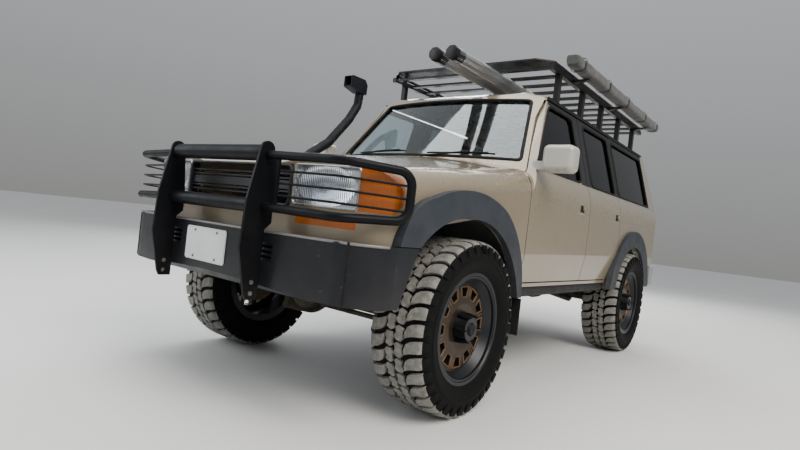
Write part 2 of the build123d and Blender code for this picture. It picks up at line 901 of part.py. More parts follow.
with BuildPart() as windscreen:
    add(screen_block.part)
    with BuildPart(mode=Mode.PRIVATE) as pane:
        with Locations((0, glass_inset + glass_thickness, 0)):
            add(screen_cut.part)
        with Locations((0, glass_inset, 0)):
            add(screen_cut.part, mode=Mode.SUBTRACT)
    add(pane.part, mode=Mode.INTERSECT)
windscreen.part.label = "windscreen"
export_step(windscreen.part, "parts/windscreen.step")

with BuildPart() as hatch_glass:
    with Locations((0, -glass_inset, 0)):
        add(body_form.part)
    add(hatch_block(-hatch_window_inset, window_corner), mode=Mode.INTERSECT)
    with Locations((0, -glass_inset - glass_thickness, 0)):
        add(body_form.part, mode=Mode.SUBTRACT)
hatch_glass.part.label = "hatch_glass"
export_step(hatch_glass.part, "parts/hatch_glass.step")

# Door mirrors, each on a foot on the front door
for name, side in (("l", 1), ("r", -1)):
    with BuildPart() as mirror_shell:
        with BuildSketch(across(mirror_back)):
            with Locations((side * (mirror_half - mirror_width / 2), above(mirror_rise))):
                RectangleRounded(mirror_width, mirror_height, 34)
        extrude(amount=mirror_depth, dir=(0, 1, 0))
        fillet(mirror_shell.faces().sort_by(Axis.Y)[0].edges(), 30)
        with BuildSketch(Plane.YZ.offset(side * (mirror_half - mirror_width + 20))):
            Polygon((behind(mirror_back + 56), above(mirror_rise - 66)), (behind(mirror_back + 100), above(mirror_rise - 66)),
                    (behind(mirror_back + 96), above(mirror_rise - 12)), (behind(mirror_back + 66), above(mirror_rise - 12)),
                    align=None)
        extrude(amount=100, dir=(-side, 0, 0))
        add(doors[f"f{name}"], mode=Mode.SUBTRACT)
        add(cabin_space.part, mode=Mode.SUBTRACT)
    mirror_shell.part.label = f"mirror_{name}"
    export_step(mirror_shell.part, f"parts/mirror_{name}.step")


def tube(points, bends, radius, closed=False):
    """A round bar along straight runs joined by arcs."""
    with BuildPart() as bar:
        with BuildLine() as path:
            if len(points) == 2:
                Line(*points)
            else:
                FilletPolyline(*points, radius=bends)
        with BuildSketch(Plane(path.line @ 0, z_dir=path.line % 0)):
            Circle(radius)
        sweep()
    return bar.part


# Grille: a bright frame with slats and a wide bare bar across the middle
with BuildPart() as grille:
    grille_height = grille_high_rise - grille_low_rise
    grille_middle = above((grille_low_rise + grille_high_rise) / 2)
    with BuildSketch(across(nose_back + 12)):
        with Locations((0, grille_middle)):
            Rectangle(2 * grille_half, grille_height)
            Rectangle(2 * (grille_half - grille_frame), grille_height - 2 * grille_frame, mode=Mode.SUBTRACT)
    extrude(amount=grille_depth, dir=(0, 1, 0))
    with BuildSketch(across(nose_back + 18)):
        with Locations((0, grille_middle)):
            Rectangle(2 * (grille_half - grille_frame), grille_bar_height)
        for slat in (-2, -1, 1, 2):
            with Locations((0, grille_middle + slat * grille_slat_pitch + (grille_slat_pitch / 2 if slat > 0
                                                                        else -grille_slat_pitch / 2))):
                Rectangle(2 * (grille_half - grille_frame), grille_slat_height)
    extrude(amount=grille_depth - 8, dir=(0, 1, 0))
grille.part.label = "grille"
export_step(grille.part, "parts/grille.step")


def bumper_plan(end, sign, corner, half, reach, rear):
    """A bumper seen from above: its bowed face, round corners and returns."""
    with BuildSketch(Plane.XY.offset(base_z - 100)) as plan:
        with BuildLine():
            face = end + sign * reach
            ThreePointArc((-half + corner, behind(face - sign * bumper_bow)), (0, behind(face)),
                          (half - corner, behind(face - sign * bumper_bow)))
            for side in (1, -1):
                RadiusArc((side * (half - corner), behind(face - sign * bumper_bow)),
                          (side * half, behind(face - sign * (bumper_bow + corner))), side * sign * corner * 1.05)
                Line((side * half, behind(face - sign * (bumper_bow + corner))), (side * half, behind(rear)))
            Line((-half, behind(rear)), (half, behind(rear)))
        make_face()
    return plan.sketch


# Bumpers: name, end of the body, way out, corner, half width, reach, rear, rises and slant of its ends
bumper_rows = (
    ("front_bumper", nose_back, -1, bumper_corner, bumper_half, bumper_reach, bumper_rear_back,
     bumper_bottom_rise, bumper_top_rise, 112),
    ("rear_bumper", tail_back, 1, 120, rear_bumper_half, rear_bumper_reach, rear_bumper_front_back,
     rear_bumper_bottom_rise, rear_bumper_top_rise, -40),
)
bumpers = {}
for name, end, sign, corner, half, reach, rear, low, high, cut in bumper_rows:
    with BuildPart() as bumper:
        add(bumper_plan(end, sign, corner, half, reach, rear))
        extrude(amount=600, dir=(0, 0, 1))
        add(bumper_plan(end, sign, corner * 0.8, half - bumper_side_wall, reach - bumper_wall, rear))
        extrude(amount=600, dir=(0, 0, 1), mode=Mode.SUBTRACT)
        with BuildSketch(Plane.YZ):
            Polygon((behind(end + sign * (reach + 10)), above(low + 40)), (behind(end + sign * (reach + 10)), above(high)),
                    (behind(rear), above(high)), (behind(rear - cut), above(low)),
                    (behind(end + sign * (reach - 30)), above(low)), align=None)
        extrude(amount=outside, both=True, mode=Mode.INTERSECT)
        add(body_form.part, mode=Mode.SUBTRACT)
        if sign < 0:
            for side in (1, -1):
                with BuildSketch(across(end - reach - 20)) as recess:
                    with Locations((side * vent_x, above(vent_rise))):
                        RectangleRounded(vent_width, vent_height, 20)
                extrude(amount=38, dir=(0, 1, 0), mode=Mode.SUBTRACT)
                with BuildSketch(across(end - reach)) as slots:
                    with Locations([(side * vent_x, above(vent_rise + step * vent_height / 3.4)) for step in (-1, 0, 1)]):
                        Rectangle(vent_width - 24, 12)
                extrude(amount=reach, dir=(0, 1, 0), mode=Mode.SUBTRACT)
    bumper.part.label = name
    export_step(bumper.part, f"parts/{name}.step")
    bumpers[name] = bumper.part

# Brush guard: two plate uprights, two cross tubes and a barred loop round each headlamp
guard_seat_back = nose_back - bumper_reach - fit_clearance + bumper_bow * (
    (guard_half - guard_plate / 2) / (bumper_half - bumper_corner)) ** 2
with BuildPart() as brush_guard:
    tube_y = behind(-guard_tube_reach)
    for side in (1, -1):
        with BuildSketch(Plane.YZ.offset(side * guard_half - guard_plate / 2)) as upright:
            with BuildLine():
                tip_front = (behind(-front_reach + 56), guard_top_z + 24)
                tip_rear = (behind(-front_reach + 126), guard_top_z + 24)
                Polyline(tip_front, (behind(-front_reach + 10), above(334)), (behind(-front_reach), above(120)),
                         (behind(-front_reach + 46), above(-78)), (behind(-front_reach + 58), guard_foot_z),
                         (behind(guard_seat_back), guard_foot_z), (behind(guard_seat_back), above(205)),
                         (behind(-front_reach + 150), above(236)), (behind(-front_reach + 150), above(320)),
                         tip_rear)
                TangentArc(tip_front, tip_rear, tangent=(0.3, 1))
            make_face()
            with Locations((behind(-front_reach + 76), guard_foot_z + 28), (behind(-front_reach + 76), guard_foot_z + 76)):
                Circle(guard_bolt_radius, mode=Mode.SUBTRACT)
        extrude(amount=guard_plate, dir=(1, 0, 0))
        loop = [(side * guard_half, tube_y, guard_top_z - 8), (side * guard_bend_x, behind(guard_bend_back), guard_top_z - 16),
                (side * loop_half, behind(loop_back), guard_top_z - 27), (side * loop_half, behind(loop_back), guard_mid_z + 4),
                (side * guard_bend_x, behind(guard_bend_back), guard_mid_z - 9), (side * guard_half, tube_y, guard_mid_z)]
        add(tube(loop, [110, 62, 62, 110], guard_loop_radius))
        with BuildSketch(Plane.XY.offset(guard_mid_z)):
            with Locations((side * (guard_half + 66), tube_y + 6)):
                Rectangle(guard_flat_width, guard_plate)
        extrude(amount=guard_top_z - guard_mid_z - 12, dir=(0, 0, 1))
        for bar in range(3):
            bar_z = guard_mid_z + (bar + 1) * (guard_top_z - guard_mid_z - 20) / 4
            add(tube([(side * (guard_half + 50), tube_y + 6, bar_z),
                      (side * guard_bend_x, behind(guard_bend_back + 8), bar_z - 6),
                      (side * loop_half, behind(loop_back), bar_z - 10)], 110, guard_bar_radius))
    for z, radius in ((guard_top_z, guard_top_radius), (guard_mid_z, guard_mid_radius)):
        with BuildSketch(Plane.YZ.offset(-guard_half)):
            with Locations((tube_y, z)):
                Circle(radius)
        extrude(amount=2 * guard_half, dir=(1, 0, 0))
brush_guard.part.label = "brush_guard"
export_step(brush_guard.part, "parts/brush_guard.step")

# Blank licence plate between the uprights
with BuildPart() as licence_plate:
    with BuildSketch(across(nose_back - bumper_reach - fit_clearance)):
        with Locations((plate_x, above(plate_rise))):
            RectangleRounded(plate_width, plate_height, 14)
    extrude(amount=plate_thickness, dir=(0, -1, 0))
licence_plate.part.label = "licence_plate"
export_step(licence_plate.part, "parts/licence_plate.step")

def arcs(stations):
    """Arcs, each through three stations, seen from the side: places behind the axle and rises."""
    points = [(behind(back), above(rise)) for back, rise in stations]
    for first in range(0, len(points) - 2, 2):
        ThreePointArc(*points[first:first + 3])


# Fender flares over the arches, with the mud flaps behind the front wheels
with BuildPart() as flares:
    for side in (1, -1):
        inner = side * (half_waist - flare_inset)
        with BuildSketch(Plane.YZ.offset(inner)):
            with BuildLine():
                arcs(front_flare_outer)
                arcs(front_flare_inner)
                for end in (0, -1):
                    Line(*[(behind(back), above(rise)) for back, rise in (front_flare_outer[end], front_flare_inner[end])])
            make_face()
        extrude(amount=flare_half - half_waist + flare_inset, dir=(side, 0, 0))
        with BuildSketch(Plane.YZ.offset(inner)):
            with Locations((behind(wheelbase), arch_height)):
                Circle(rear_flare_radius)
                Circle(rear_arch_radius, mode=Mode.SUBTRACT)
            with Locations((behind(wheelbase), arch_height + flare_foot_drop - 500)):
                Rectangle(3000, 1000, mode=Mode.SUBTRACT)
        extrude(amount=flare_half - half_waist + flare_inset, dir=(side, 0, 0))
    add(body_form.part, mode=Mode.SUBTRACT)
    add(bumpers["front_bumper"], mode=Mode.SUBTRACT)
flares.part.label = "flares"
export_step(flares.part, "parts/flares.step")

with BuildPart() as mud_flaps:
    for side in (1, -1):
        flap_top = base_z - fit_clearance
        step_x = half_waist - flare_inset - 3
        step_z = arch_height + flare_foot_drop - 6
        with BuildSketch(across(flap_back - flap_thickness / 2)):
            Polygon((side * flap_inner, flap_bottom_z), (side * flap_inner, flap_top), (side * step_x, flap_top),
                    (side * step_x, step_z), (side * flare_half, step_z), (side * flare_half, flap_bottom_z),
                    align=None)
        extrude(amount=flap_thickness, dir=(0, 1, 0))
mud_flaps.part.label = "mud_flaps"
export_step(mud_flaps.part, "parts/mud_flaps.step")

# Dark sills under the doors
with BuildPart() as sills:
    for side in (1, -1):
        with BuildSketch(across(front_door_back + 12)):
            with Locations((side * (half_base - sill_width / 2 + 4), base_z - sill_height / 2)):
                RectangleRounded(sill_width, sill_height, 18)
        extrude(amount=sill_length, dir=(0, 1, 0))
sills.part.label = "sills"
export_step(sills.part, "parts/sills.step")

# Snorkel along the right windscreen pillar, with its head turned forwards
with BuildPart() as snorkel:
    add(tube(snorkel_path, snorkel_bend, snorkel_radius))
    head_x, head_back, head_z = snorkel_path[-1]
    with BuildSketch(Plane.YZ.offset(head_x - 42)) as head:
        Polygon((head_back - 150, head_z + 98), (head_back - 150, head_z + 8), (head_back - 36, head_z - 20),
                (head_back + 36, head_z - 20), (head_back + 40, head_z + 60), (head_back + 8, head_z + 98), align=None)
        fillet(head.vertices().sort_by(Axis.Y)[-3:], 16)
    extrude(amount=84, dir=(1, 0, 0))
    with BuildSketch(Plane.XZ.offset(-head_back + 150)):
        with Locations((head_x, head_z + 53)):
            Rectangle(68, 72)
    extrude(amount=60, dir=(0, 1, 0), mode=Mode.SUBTRACT)
    with BuildSketch(Plane.YZ.offset(snorkel_path[0][0] + 40)):
        with Locations((snorkel_path[0][1] + 10, snorkel_path[0][2] + 10)):
            Circle(58)
    extrude(amount=60, dir=(-1, 0, 0))
    add(body_form.part, mode=Mode.SUBTRACT)
snorkel.part.label = "snorkel"
export_step(snorkel.part, "parts/snorkel.step")


# Roof rack: side rails on gutter feet, slats, an upper rail and a broad front plate
rack_z = above(rack_floor_rise)
rail_z = above(rack_rail_rise)
with BuildPart() as roof_rack:
    for side in (1, -1):
        with BuildSketch(across(rack_front_back + 60)):
            with Locations((side * rack_half, rack_z)):
                Rectangle(rack_rail_size, rack_rail_size)
        extrude(amount=rack_rear_back - rack_front_back - 60, dir=(0, 1, 0))
        add(tube([(side * rack_half, behind(rack_front_back + 70), rack_z),
                  (side * rack_half, behind(rack_front_back + 110), rail_z),
                  (side * rack_half, behind(rack_rear_back - 20), rail_z),
                  (side * rack_half, behind(rack_rear_back - 20), rack_z)], 34, rack_tube_radius))
        for back in rack_foot_backs:
            with BuildSketch(Plane.XY.offset(above(gutter_rise) + gutter_half_height)):
                with Locations((side * rack_half, behind(back))):
                    Rectangle(rack_rail_size, rack_foot_width)
            extrude(amount=rack_z - above(gutter_rise) - gutter_half_height)
            with BuildSketch(Plane.XY.offset(rack_z)):
                with Locations((side * rack_half, behind(back))):
                    Rectangle(10, 30)
            extrude(amount=rail_z - rack_z)
    for index in range(rack_slat_count):
        back = rack_front_back + 90 + index * (rack_rear_back - rack_front_back - 110) / (rack_slat_count - 1)
        with Locations((0, behind(back), rack_z)):
            Box(2 * rack_half, 46, slat_thickness)
    with BuildSketch(Plane.XY.offset(rail_z - 6)):
        with BuildLine():
            Polyline((-rack_half - 14, behind(rack_front_back + rack_plate_depth)), (-rack_half - 14, behind(rack_front_back + 90)),
                     (-rack_half + 90, behind(rack_front_back)), (rack_half - 90, behind(rack_front_back)),
                     (rack_half + 14, behind(rack_front_back + 90)), (rack_half + 14, behind(rack_front_back + rack_plate_depth)),
                     (-rack_half - 14, behind(rack_front_back + rack_plate_depth)))
        make_face()
    extrude(amount=10)
    # Brackets of the awning, along the left side
    for back in awning_bracket_backs:
        with BuildSketch(across(back)):
            Polygon((rack_half + rack_rail_size / 2 - 1, rack_z - 14), (awning_x + 30, above(awning_rise) - 8),
                    (awning_x + 30, above(awning_rise) - 0.5),
                    (awning_x - awning_width / 2 - 0.5, above(awning_rise) - 0.5),
                    (rack_half + rack_rail_size / 2 - 1, rack_z + 14), align=None)
        extrude(amount=40, dir=(0, 1, 0))
    add(cabin_shell.part, mode=Mode.SUBTRACT)
roof_rack.part.label = "roof_rack"
export_step(roof_rack.part, "parts/roof_rack.step")

# Twin ribbed rod tubes with dark caps, clamped under the rack's slats
rod_z = rack_z - slat_thickness / 2 - fit_clearance - rod_tube_radius
slat_pitch = (rack_rear_back - rack_front_back - 110) / (rack_slat_count - 1)
with BuildPart() as rod_tubes:
    for side in (1, -1):
        tube_x = rod_tube_x + side * rod_tube_spacing / 2
        with BuildSketch(across(rod_tube_front_back + rod_cap_length / 2)):
            with Locations((tube_x, rod_z)):
                RegularPolygon(rod_tube_radius - 2, 16)
        extrude(amount=rod_tube_length - rod_cap_length, dir=(0, 1, 0))
        for end in (rod_tube_front_back, rod_tube_front_back + rod_tube_length - rod_cap_length):
            with BuildSketch(across(end)):
                with Locations((tube_x, rod_z)):
                    RegularPolygon(rod_tube_radius, 8, rotation=22.5)
            extrude(amount=rod_cap_length, dir=(0, 1, 0))
    for slat in (1, 7):
        with Locations((rod_tube_x, behind(rack_front_back + 90 + slat * slat_pitch), rod_z)):
            Box(rod_tube_spacing, 40, 2 * rod_tube_radius)
rod_tubes.part.label = "rod_tubes"
export_step(rod_tubes.part, "parts/rod_tubes.step")

# Rolled awning in its bag, along the left side of the rack
with BuildPart() as awning_bag:
    with BuildSketch(across(awning_front_back)):
        with Locations((awning_x, above(awning_rise + awning_height / 2))):
            RectangleRounded(awning_width, awning_height, 40)
    extrude(amount=awning_length, dir=(0, 1, 0))
awning_bag.part.label = "awning_bag"
export_step(awning_bag.part, "parts/awning_bag.step")

# Ladder frame with its cross members, spring towers and body mounts
with BuildPart() as chassis_frame:
    for side in (1, -1):
        with BuildSketch(across(frame_front_back)):
            with Locations((side * rail_half_spacing, rail_bottom + rail_height / 2)):
                Rectangle(rail_width, rail_height)
        extrude(amount=frame_rear_back - frame_front_back, dir=(0, 1, 0))
        for back in (0, wheelbase):
            with Locations((side * (spring_half / 2 + rail_half_spacing / 2 + 40), behind(back), tower_z + 6)):
                Box(spring_half - rail_half_spacing + 90, 150, 16)
            with Locations((side * (rail_half_spacing + rail_width / 2 - 6), behind(back), (tower_z + rail_bottom) / 2)):
                Box(12, 150, tower_z - rail_bottom + 2)
        for back in body_mount_backs:
            with Locations((side * (rail_half_spacing + rail_width), behind(back), rail_bottom + 50)):
                Box(rail_width + 10, 90, 30)
            with Locations((side * (rail_half_spacing + rail_width + 10), behind(back), (rail_bottom + 50 + above(floor_rise)) / 2)):
                Cylinder(28, above(floor_rise) - rail_bottom - 50)
    for back in cross_member_backs:
        with Locations((0, behind(back), rail_bottom + 30)):
            Box(2 * rail_half_spacing, 70, 60)
chassis_frame.part.label = "chassis_frame"
export_step(chassis_frame.part, "parts/chassis_frame.step")


axle_z = tyre_radius

# Axle housings: name, place, way that the differential's nose points, its place across
axle_rows = (
    ("front_axle", 0, 1, front_diff_x),
    ("rear_axle", wheelbase, -1, rear_diff_x),
)
axles = {}
for name, back, way, diff_x in axle_rows:
    with BuildPart() as axle:
        with BuildSketch(Plane.XY.offset(axle_z)):
            with Locations((0, behind(back))):
                if back:
                    Polygon((-spindle_end, 0), (-spindle_end, spindle_radius), (-hub_plane, spindle_radius),
                            (-hub_plane, 80), (-hub_plane + 16, 80), (-hub_plane + 16, axle_tube_radius),
                            (hub_plane - 16, axle_tube_radius), (hub_plane - 16, 80), (hub_plane, 80),
                            (hub_plane, spindle_radius), (spindle_end, spindle_radius), (spindle_end, 0),
                            align=None)
                else:
                    with Locations((0, axle_tube_radius / 2)):
                        Rectangle(2 * king_pin_half, axle_tube_radius)
                    with Locations((-king_pin_half, 0), (king_pin_half, 0)):
                        Circle(swivel_radius)
                    with Locations((0, -swivel_radius)):
                        Rectangle(4 * king_pin_half, 2 * swivel_radius, mode=Mode.SUBTRACT)
        revolve(axis=Axis((0, behind(back), axle_z), (1, 0, 0)))
        with BuildSketch(Plane.XY.offset(axle_z + pinion_rise)):
            with Locations((diff_x, behind(back))):
                Polygon((0, -way * 108), (64, -way * 98), (diff_radius, -way * 36), (diff_radius, way * 30),
                        (82, way * 96), (48, way * pinion_reach), (0, way * pinion_reach), align=None)
        revolve(axis=Axis((diff_x, behind(back), axle_z + pinion_rise), (0, 1, 0)))
        for side in (1, -1):
            with BuildSketch(Plane.XY.offset(axle_z)):
                with Locations((side * spring_half, behind(back))):
                    Circle(spring_radius + 6)
            extrude(amount=axle_tube_radius + 12)
    axle.part.label = name
    export_step(axle.part, f"parts/{name}.step")
    axles[name] = axle.part

# Steering knuckles wrap the swivel balls and carry the arms of the tie rod
arm_y = behind(steering_arm_length)
arm_z = axle_z - tie_rod_drop
for name, side in (("l", 1), ("r", -1)):
    with BuildPart() as knuckle:
        with BuildSketch(across(-knuckle_depth / 2)):
            with Locations((side * (hub_plane + king_pin_half - 34) / 2, axle_z)):
                Rectangle(hub_plane - king_pin_half + 34, 2 * (swivel_radius + 28))
            with Locations((side * (king_pin_half - 50), axle_z)):
                Rectangle(100, 2 * (swivel_radius + 4), mode=Mode.SUBTRACT)
            with Locations((side * king_pin_half, axle_z)):
                Circle(swivel_radius + 4, mode=Mode.SUBTRACT)
        extrude(amount=knuckle_depth, dir=(0, 1, 0))
        with BuildSketch(Plane.YZ.offset(side * (hub_plane - 2))):
            with Locations((behind(0), axle_z)):
                Circle(spindle_radius)
        extrude(amount=spindle_end - hub_plane + 2, dir=(side, 0, 0))
        # Arm back to the tie rod, from the lower cap
        with BuildSketch(Plane.XY.offset(axle_z - swivel_radius - 28)):
            Polygon((side * (king_pin_half + 40), behind(30)), (side * (king_pin_half - 34), behind(30)),
                    (side * (king_pin_half - 24), arm_y + 20), (side * (king_pin_half + 24), arm_y + 20),
                    align=None)
            with Locations((side * king_pin_half, arm_y)):
                Circle(pin_radius + pin_clearance, mode=Mode.SUBTRACT)
        extrude(amount=22)
    knuckle.part.label = f"knuckle_{name}"
    export_step(knuckle.part, f"parts/knuckle_{name}.step")

# Tie rod between the arms
with BuildPart() as tie_rod:
    add(tube([(-king_pin_half - 20, arm_y, arm_z), (king_pin_half + 20, arm_y, arm_z)], 0, 16))
    for side in (1, -1):
        with Locations((side * king_pin_half, arm_y, arm_z + 24)):
            Cylinder(pin_radius, 48)
tie_rod.part.label = "tie_rod"
export_step(tie_rod.part, "parts/tie_rod.step")

# Coil springs, dampers and the arms that locate the axles
with BuildPart() as suspension:
    for back in (0, wheelbase):
        low = axle_z + axle_tube_radius + 12
        high = tower_z - 2
        for side in (1, -1):
            with BuildPart(mode=Mode.PRIVATE) as coil:
                for turn in range(spring_turns):
                    with Locations((side * spring_half, behind(back), low + (turn + 0.5) * (high - low) / spring_turns)):
                        Torus(spring_radius - spring_wire, spring_wire)
                with Locations((side * spring_half, behind(back), (low + high) / 2)):
                    Cylinder(spring_radius - spring_wire * 1.2, high - low)
            add(coil.part)
            damper_back = back + (-damper_offset if back == 0 else damper_offset)
            add(tube([(side * damper_half, behind(damper_back), axle_z - 10),
                      (side * damper_half, behind(damper_back), tower_z + (damper_rise if back == 0 else 22))],
                     0, damper_radius))
    for side in (1, -1):
        add(tube([(side * arm_half, behind(-70), axle_z - 108), (side * arm_half, behind(190), axle_z - 164),
                  (side * arm_half, behind(820), rail_bottom - 26)], 160, 24))
        add(tube([(side * arm_half, behind(wheelbase), axle_z - 62),
                  (side * arm_half, behind(wheelbase - 900), rail_bottom - 26)], 0, 24))
        for back, low in ((820, rail_bottom - 44), (wheelbase - 900, rail_bottom - 44)):
            with Locations((side * arm_half, behind(back), (low + rail_bottom) / 2)):
                Box(60, 70, rail_bottom - low)
        for back, z in ((-30, axle_z - 116), (wheelbase, axle_z - 62)):
            with Locations((side * arm_half, behind(back), (z + axle_z) / 2)):
                Box(40, 60, axle_z - z)
    for piece in (chassis_frame.part, *axles.values()):
        add(piece, mode=Mode.SUBTRACT)
suspension.part.label = "suspension"
export_step(suspension.part, "parts/suspension.step")

with BuildPart() as engine:
    with Locations((0, behind(engine_back), engine_z)):
        Box(520, 800, 400)
engine.part.label = "engine"
export_step(engine.part, "parts/engine.step")

with BuildPart() as driveline:
    with BuildSketch(across(engine_back + 400)):
        with Locations((0, gearbox_z)):
            Circle(112)
    extrude(amount=620, dir=(0, 1, 0), taper=3)
    with Locations((-60, behind(engine_back + 1180), gearbox_z - 6)):
        Box(360, 340, 170)
    add(tube([(0, behind(engine_back + 1340), gearbox_z), (rear_diff_x, behind(wheelbase - pinion_reach), axle_z + pinion_rise)],
             0, prop_radius))
    add(tube([(front_diff_x + 40, behind(engine_back + 1015), gearbox_z - 30), (front_diff_x, behind(pinion_reach), axle_z + pinion_rise)],
             0, prop_radius - 8))
    for piece in (chassis_frame.part, *axles.values()):
        add(piece, mode=Mode.SUBTRACT)
driveline.part.label = "driveline"
export_step(driveline.part, "parts/driveline.step")

with BuildPart() as fuel_tank:
    with Locations((70, behind(wheelbase + 385), 610)):
        Box(500, 450, 190)
    fillet(fuel_tank.edges().filter_by(Axis.Y), 30)
    # Its seam flange reaches the frame rails
    for back in (wheelbase + 255, wheelbase + 515):
        with Locations((0, behind(back), 600)):
            Box(2 * rail_half_spacing - rail_width - 2 * fit_clearance, 60, 8)
fuel_tank.part.label = "fuel_tank"
export_step(fuel_tank.part, "parts/fuel_tank.step")

with BuildPart() as exhaust:
    pipe_x = -rail_half_spacing + rail_width / 2 + 55
    add(tube([(pipe_x + 60, behind(280), pipe_z), (pipe_x, behind(480), pipe_z), (pipe_x, behind(3590), pipe_z),
              (pipe_x - 20, behind(3780), pipe_z - 150)], 50, pipe_radius))
    with Locations((pipe_x + 14, behind(1830), pipe_z)):
        Cylinder(muffler_radius, 440, rotation=(90, 0, 0))
exhaust.part.label = "exhaust"
export_step(exhaust.part, "parts/exhaust.step")

# Seats stand on the cabin floor
floor_top = above(floor_rise + floor_thickness)
with BuildPart() as seats:
    for x, back, width in seat_rows:
        with BuildSketch(Plane.YZ.offset(x - width / 2)) as seat:
            Polygon((behind(back - 260), floor_top + fit_clearance), (behind(back - 260), floor_top + 330),
                    (behind(back + 200), floor_top + 300), (behind(back + 330), floor_top + 870),
                    (behind(back + 430), floor_top + 850), (behind(back + 330), floor_top + 240),
                    (behind(back + 300), floor_top + fit_clearance), align=None)
            fillet(seat.vertices().sort_by(Axis.Z)[2:], 36)
        extrude(amount=width, dir=(1, 0, 0))
seats.part.label = "seats"
export_step(seats.part, "parts/seats.step")

# Dashboard with the steering wheel on its column
with BuildPart() as dashboard:
    with BuildSketch(Plane.YZ.offset(-dash_half)) as dash:
        Polygon((behind(firewall_back + 1), floor_top + 330), (behind(firewall_back + 1), floor_top + 480),
                (behind(firewall_back + 230), floor_top + 620), (behind(firewall_back + 330), floor_top + 600),
                (behind(firewall_back + 330), floor_top + 470), (behind(firewall_back + 200), floor_top + 330),
                align=None)
    extrude(amount=2 * dash_half, dir=(1, 0, 0))
    add(cabin_shell.part, mode=Mode.SUBTRACT)
    add(tube([(wheel_x, behind(firewall_back + 240), floor_top + 500), (wheel_x, behind(firewall_back + 500), floor_top + 590)],
             0, 26))
    with BuildSketch(Plane(origin=(wheel_x, behind(firewall_back + 500), floor_top + 590), z_dir=(0, 260, 90))):
        Circle(192)
        Circle(166, mode=Mode.SUBTRACT)
        Rectangle(350, 34)
        Circle(56)
    extrude(amount=22)
dashboard.part.label = "dashboard"
export_step(dashboard.part, "parts/dashboard.step")

# One tyre and one rim about the X axis, outer side at +X
with BuildPart() as tyre:
    with BuildSketch(Plane.XZ):
        with BuildLine():
            half = tyre_width / 2
            bead = rim_width / 2 - fit_clearance
            low = bead_radius + fit_clearance
            tread = tyre_radius - 7
            Polyline((-bead, rim_lip_radius + 1), (-bead, low), (bead, low), (bead, rim_lip_radius + 1))
            ThreePointArc((bead, rim_lip_radius + 1), (half, bead_radius + 88), (half - 8, tyre_radius - 42))
            Polyline((half - 8, tyre_radius - 42), (half - 30, tread), (0, tyre_radius), (-half + 30, tread),
                     (-half + 8, tyre_radius - 42))
            ThreePointArc((-half + 8, tyre_radius - 42), (-half, bead_radius + 88), (-bead, rim_lip_radius + 1))
        make_face()
    revolve(axis=Axis.X)

with BuildPart() as rim:
    with BuildSketch(Plane.XZ):
        half_rim = rim_width / 2
        Polygon((-half_rim, rim_lip_radius - 2), (-half_rim - 6, rim_lip_radius - 2), (-half_rim - 6, bead_radius - 12),
                (disc_face - disc_thickness, bead_radius - 12), (disc_face - 6, face_radius + 4),
                (half_rim + 6, rim_lip_radius - 16), (half_rim + 6, rim_lip_radius), (half_rim, rim_lip_radius),
                (half_rim, bead_radius), (-half_rim, bead_radius), align=None)
        Polygon((disc_face - disc_thickness, 62), (disc_face, 62), (disc_face + 8, 120), (disc_face - 6, bead_radius - 8),
                (disc_face - disc_thickness, bead_radius - 8), align=None)
    revolve(axis=Axis.X)
    with BuildSketch(Plane.YZ.offset(disc_face - disc_thickness - 1)):
        for spoke in range(window_count):
            with BuildSketch(Plane.XY, mode=Mode.PRIVATE) as window:
                inner_half = window_inner * pi / window_count - window_web / 2
                outer_half = window_outer * pi / window_count - window_web / 2
                Polygon((window_inner, -inner_half), (window_outer, -outer_half), (window_outer, outer_half),
                        (window_inner, inner_half), align=None)
                fillet(window.vertices(), 8)
            with Locations(Rotation(0, 0, spoke * 360 / window_count)):
                add(window.sketch)
    extrude(amount=disc_thickness + 20, dir=(1, 0, 0), mode=Mode.SUBTRACT)
    with BuildSketch(Plane.YZ.offset(disc_face - disc_thickness)):
        Circle(74)
    extrude(amount=disc_thickness + hub_reach, dir=(1, 0, 0), taper=8)
    with BuildSketch(Plane.YZ.offset(hub_face)):
        Circle(84)
    extrude(amount=disc_face - disc_thickness - hub_face, dir=(1, 0, 0))
    # Brake disc behind the wheel's centre
    with BuildSketch(Plane.YZ.offset(hub_face)):
        Circle(brake_radius)
    extrude(amount=22, dir=(1, 0, 0))
    with BuildSketch(Plane.YZ.offset(hub_face - 1)):
        Circle(spindle_radius + fit_clearance)
    extrude(amount=spindle_end - half_track - hub_face + 2, dir=(1, 0, 0), mode=Mode.SUBTRACT)

for corner_name, side, back in (("fl", 1, 0), ("fr", -1, 0), ("rl", 1, wheelbase), ("rr", -1, wheelbase)):
    turn = 0 if side > 0 else 180
    with BuildPart() as wheel_tyre:
        with Locations(Location((side * half_track, behind(back), axle_z), (0, 0, turn))):
            add(tyre.part)
    wheel_tyre.part.label = f"tyre_{corner_name}"
    export_step(wheel_tyre.part, f"parts/tyre_{corner_name}.step")
    with BuildPart() as wheel_rim:
        with Locations(Location((side * half_track, behind(back), axle_z), (0, 0, turn))):
            add(rim.part)
    wheel_rim.part.label = f"rim_{corner_name}"
    export_step(wheel_rim.part, f"parts/rim_{corner_name}.step")
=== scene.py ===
"""Looks of the lifted off-road wagon: finishes, treads, trim, lamps, soft goods, light and camera.

Lengths are metres.  The vehicle faces -Y, its left side is +X and the floor is Z = 0.
"""

import logging
import math
from dataclasses import dataclass, field
from enum import Enum
from typing import Iterable, Sequence

import bmesh
import bpy
from mathutils import Matrix, Vector, noise


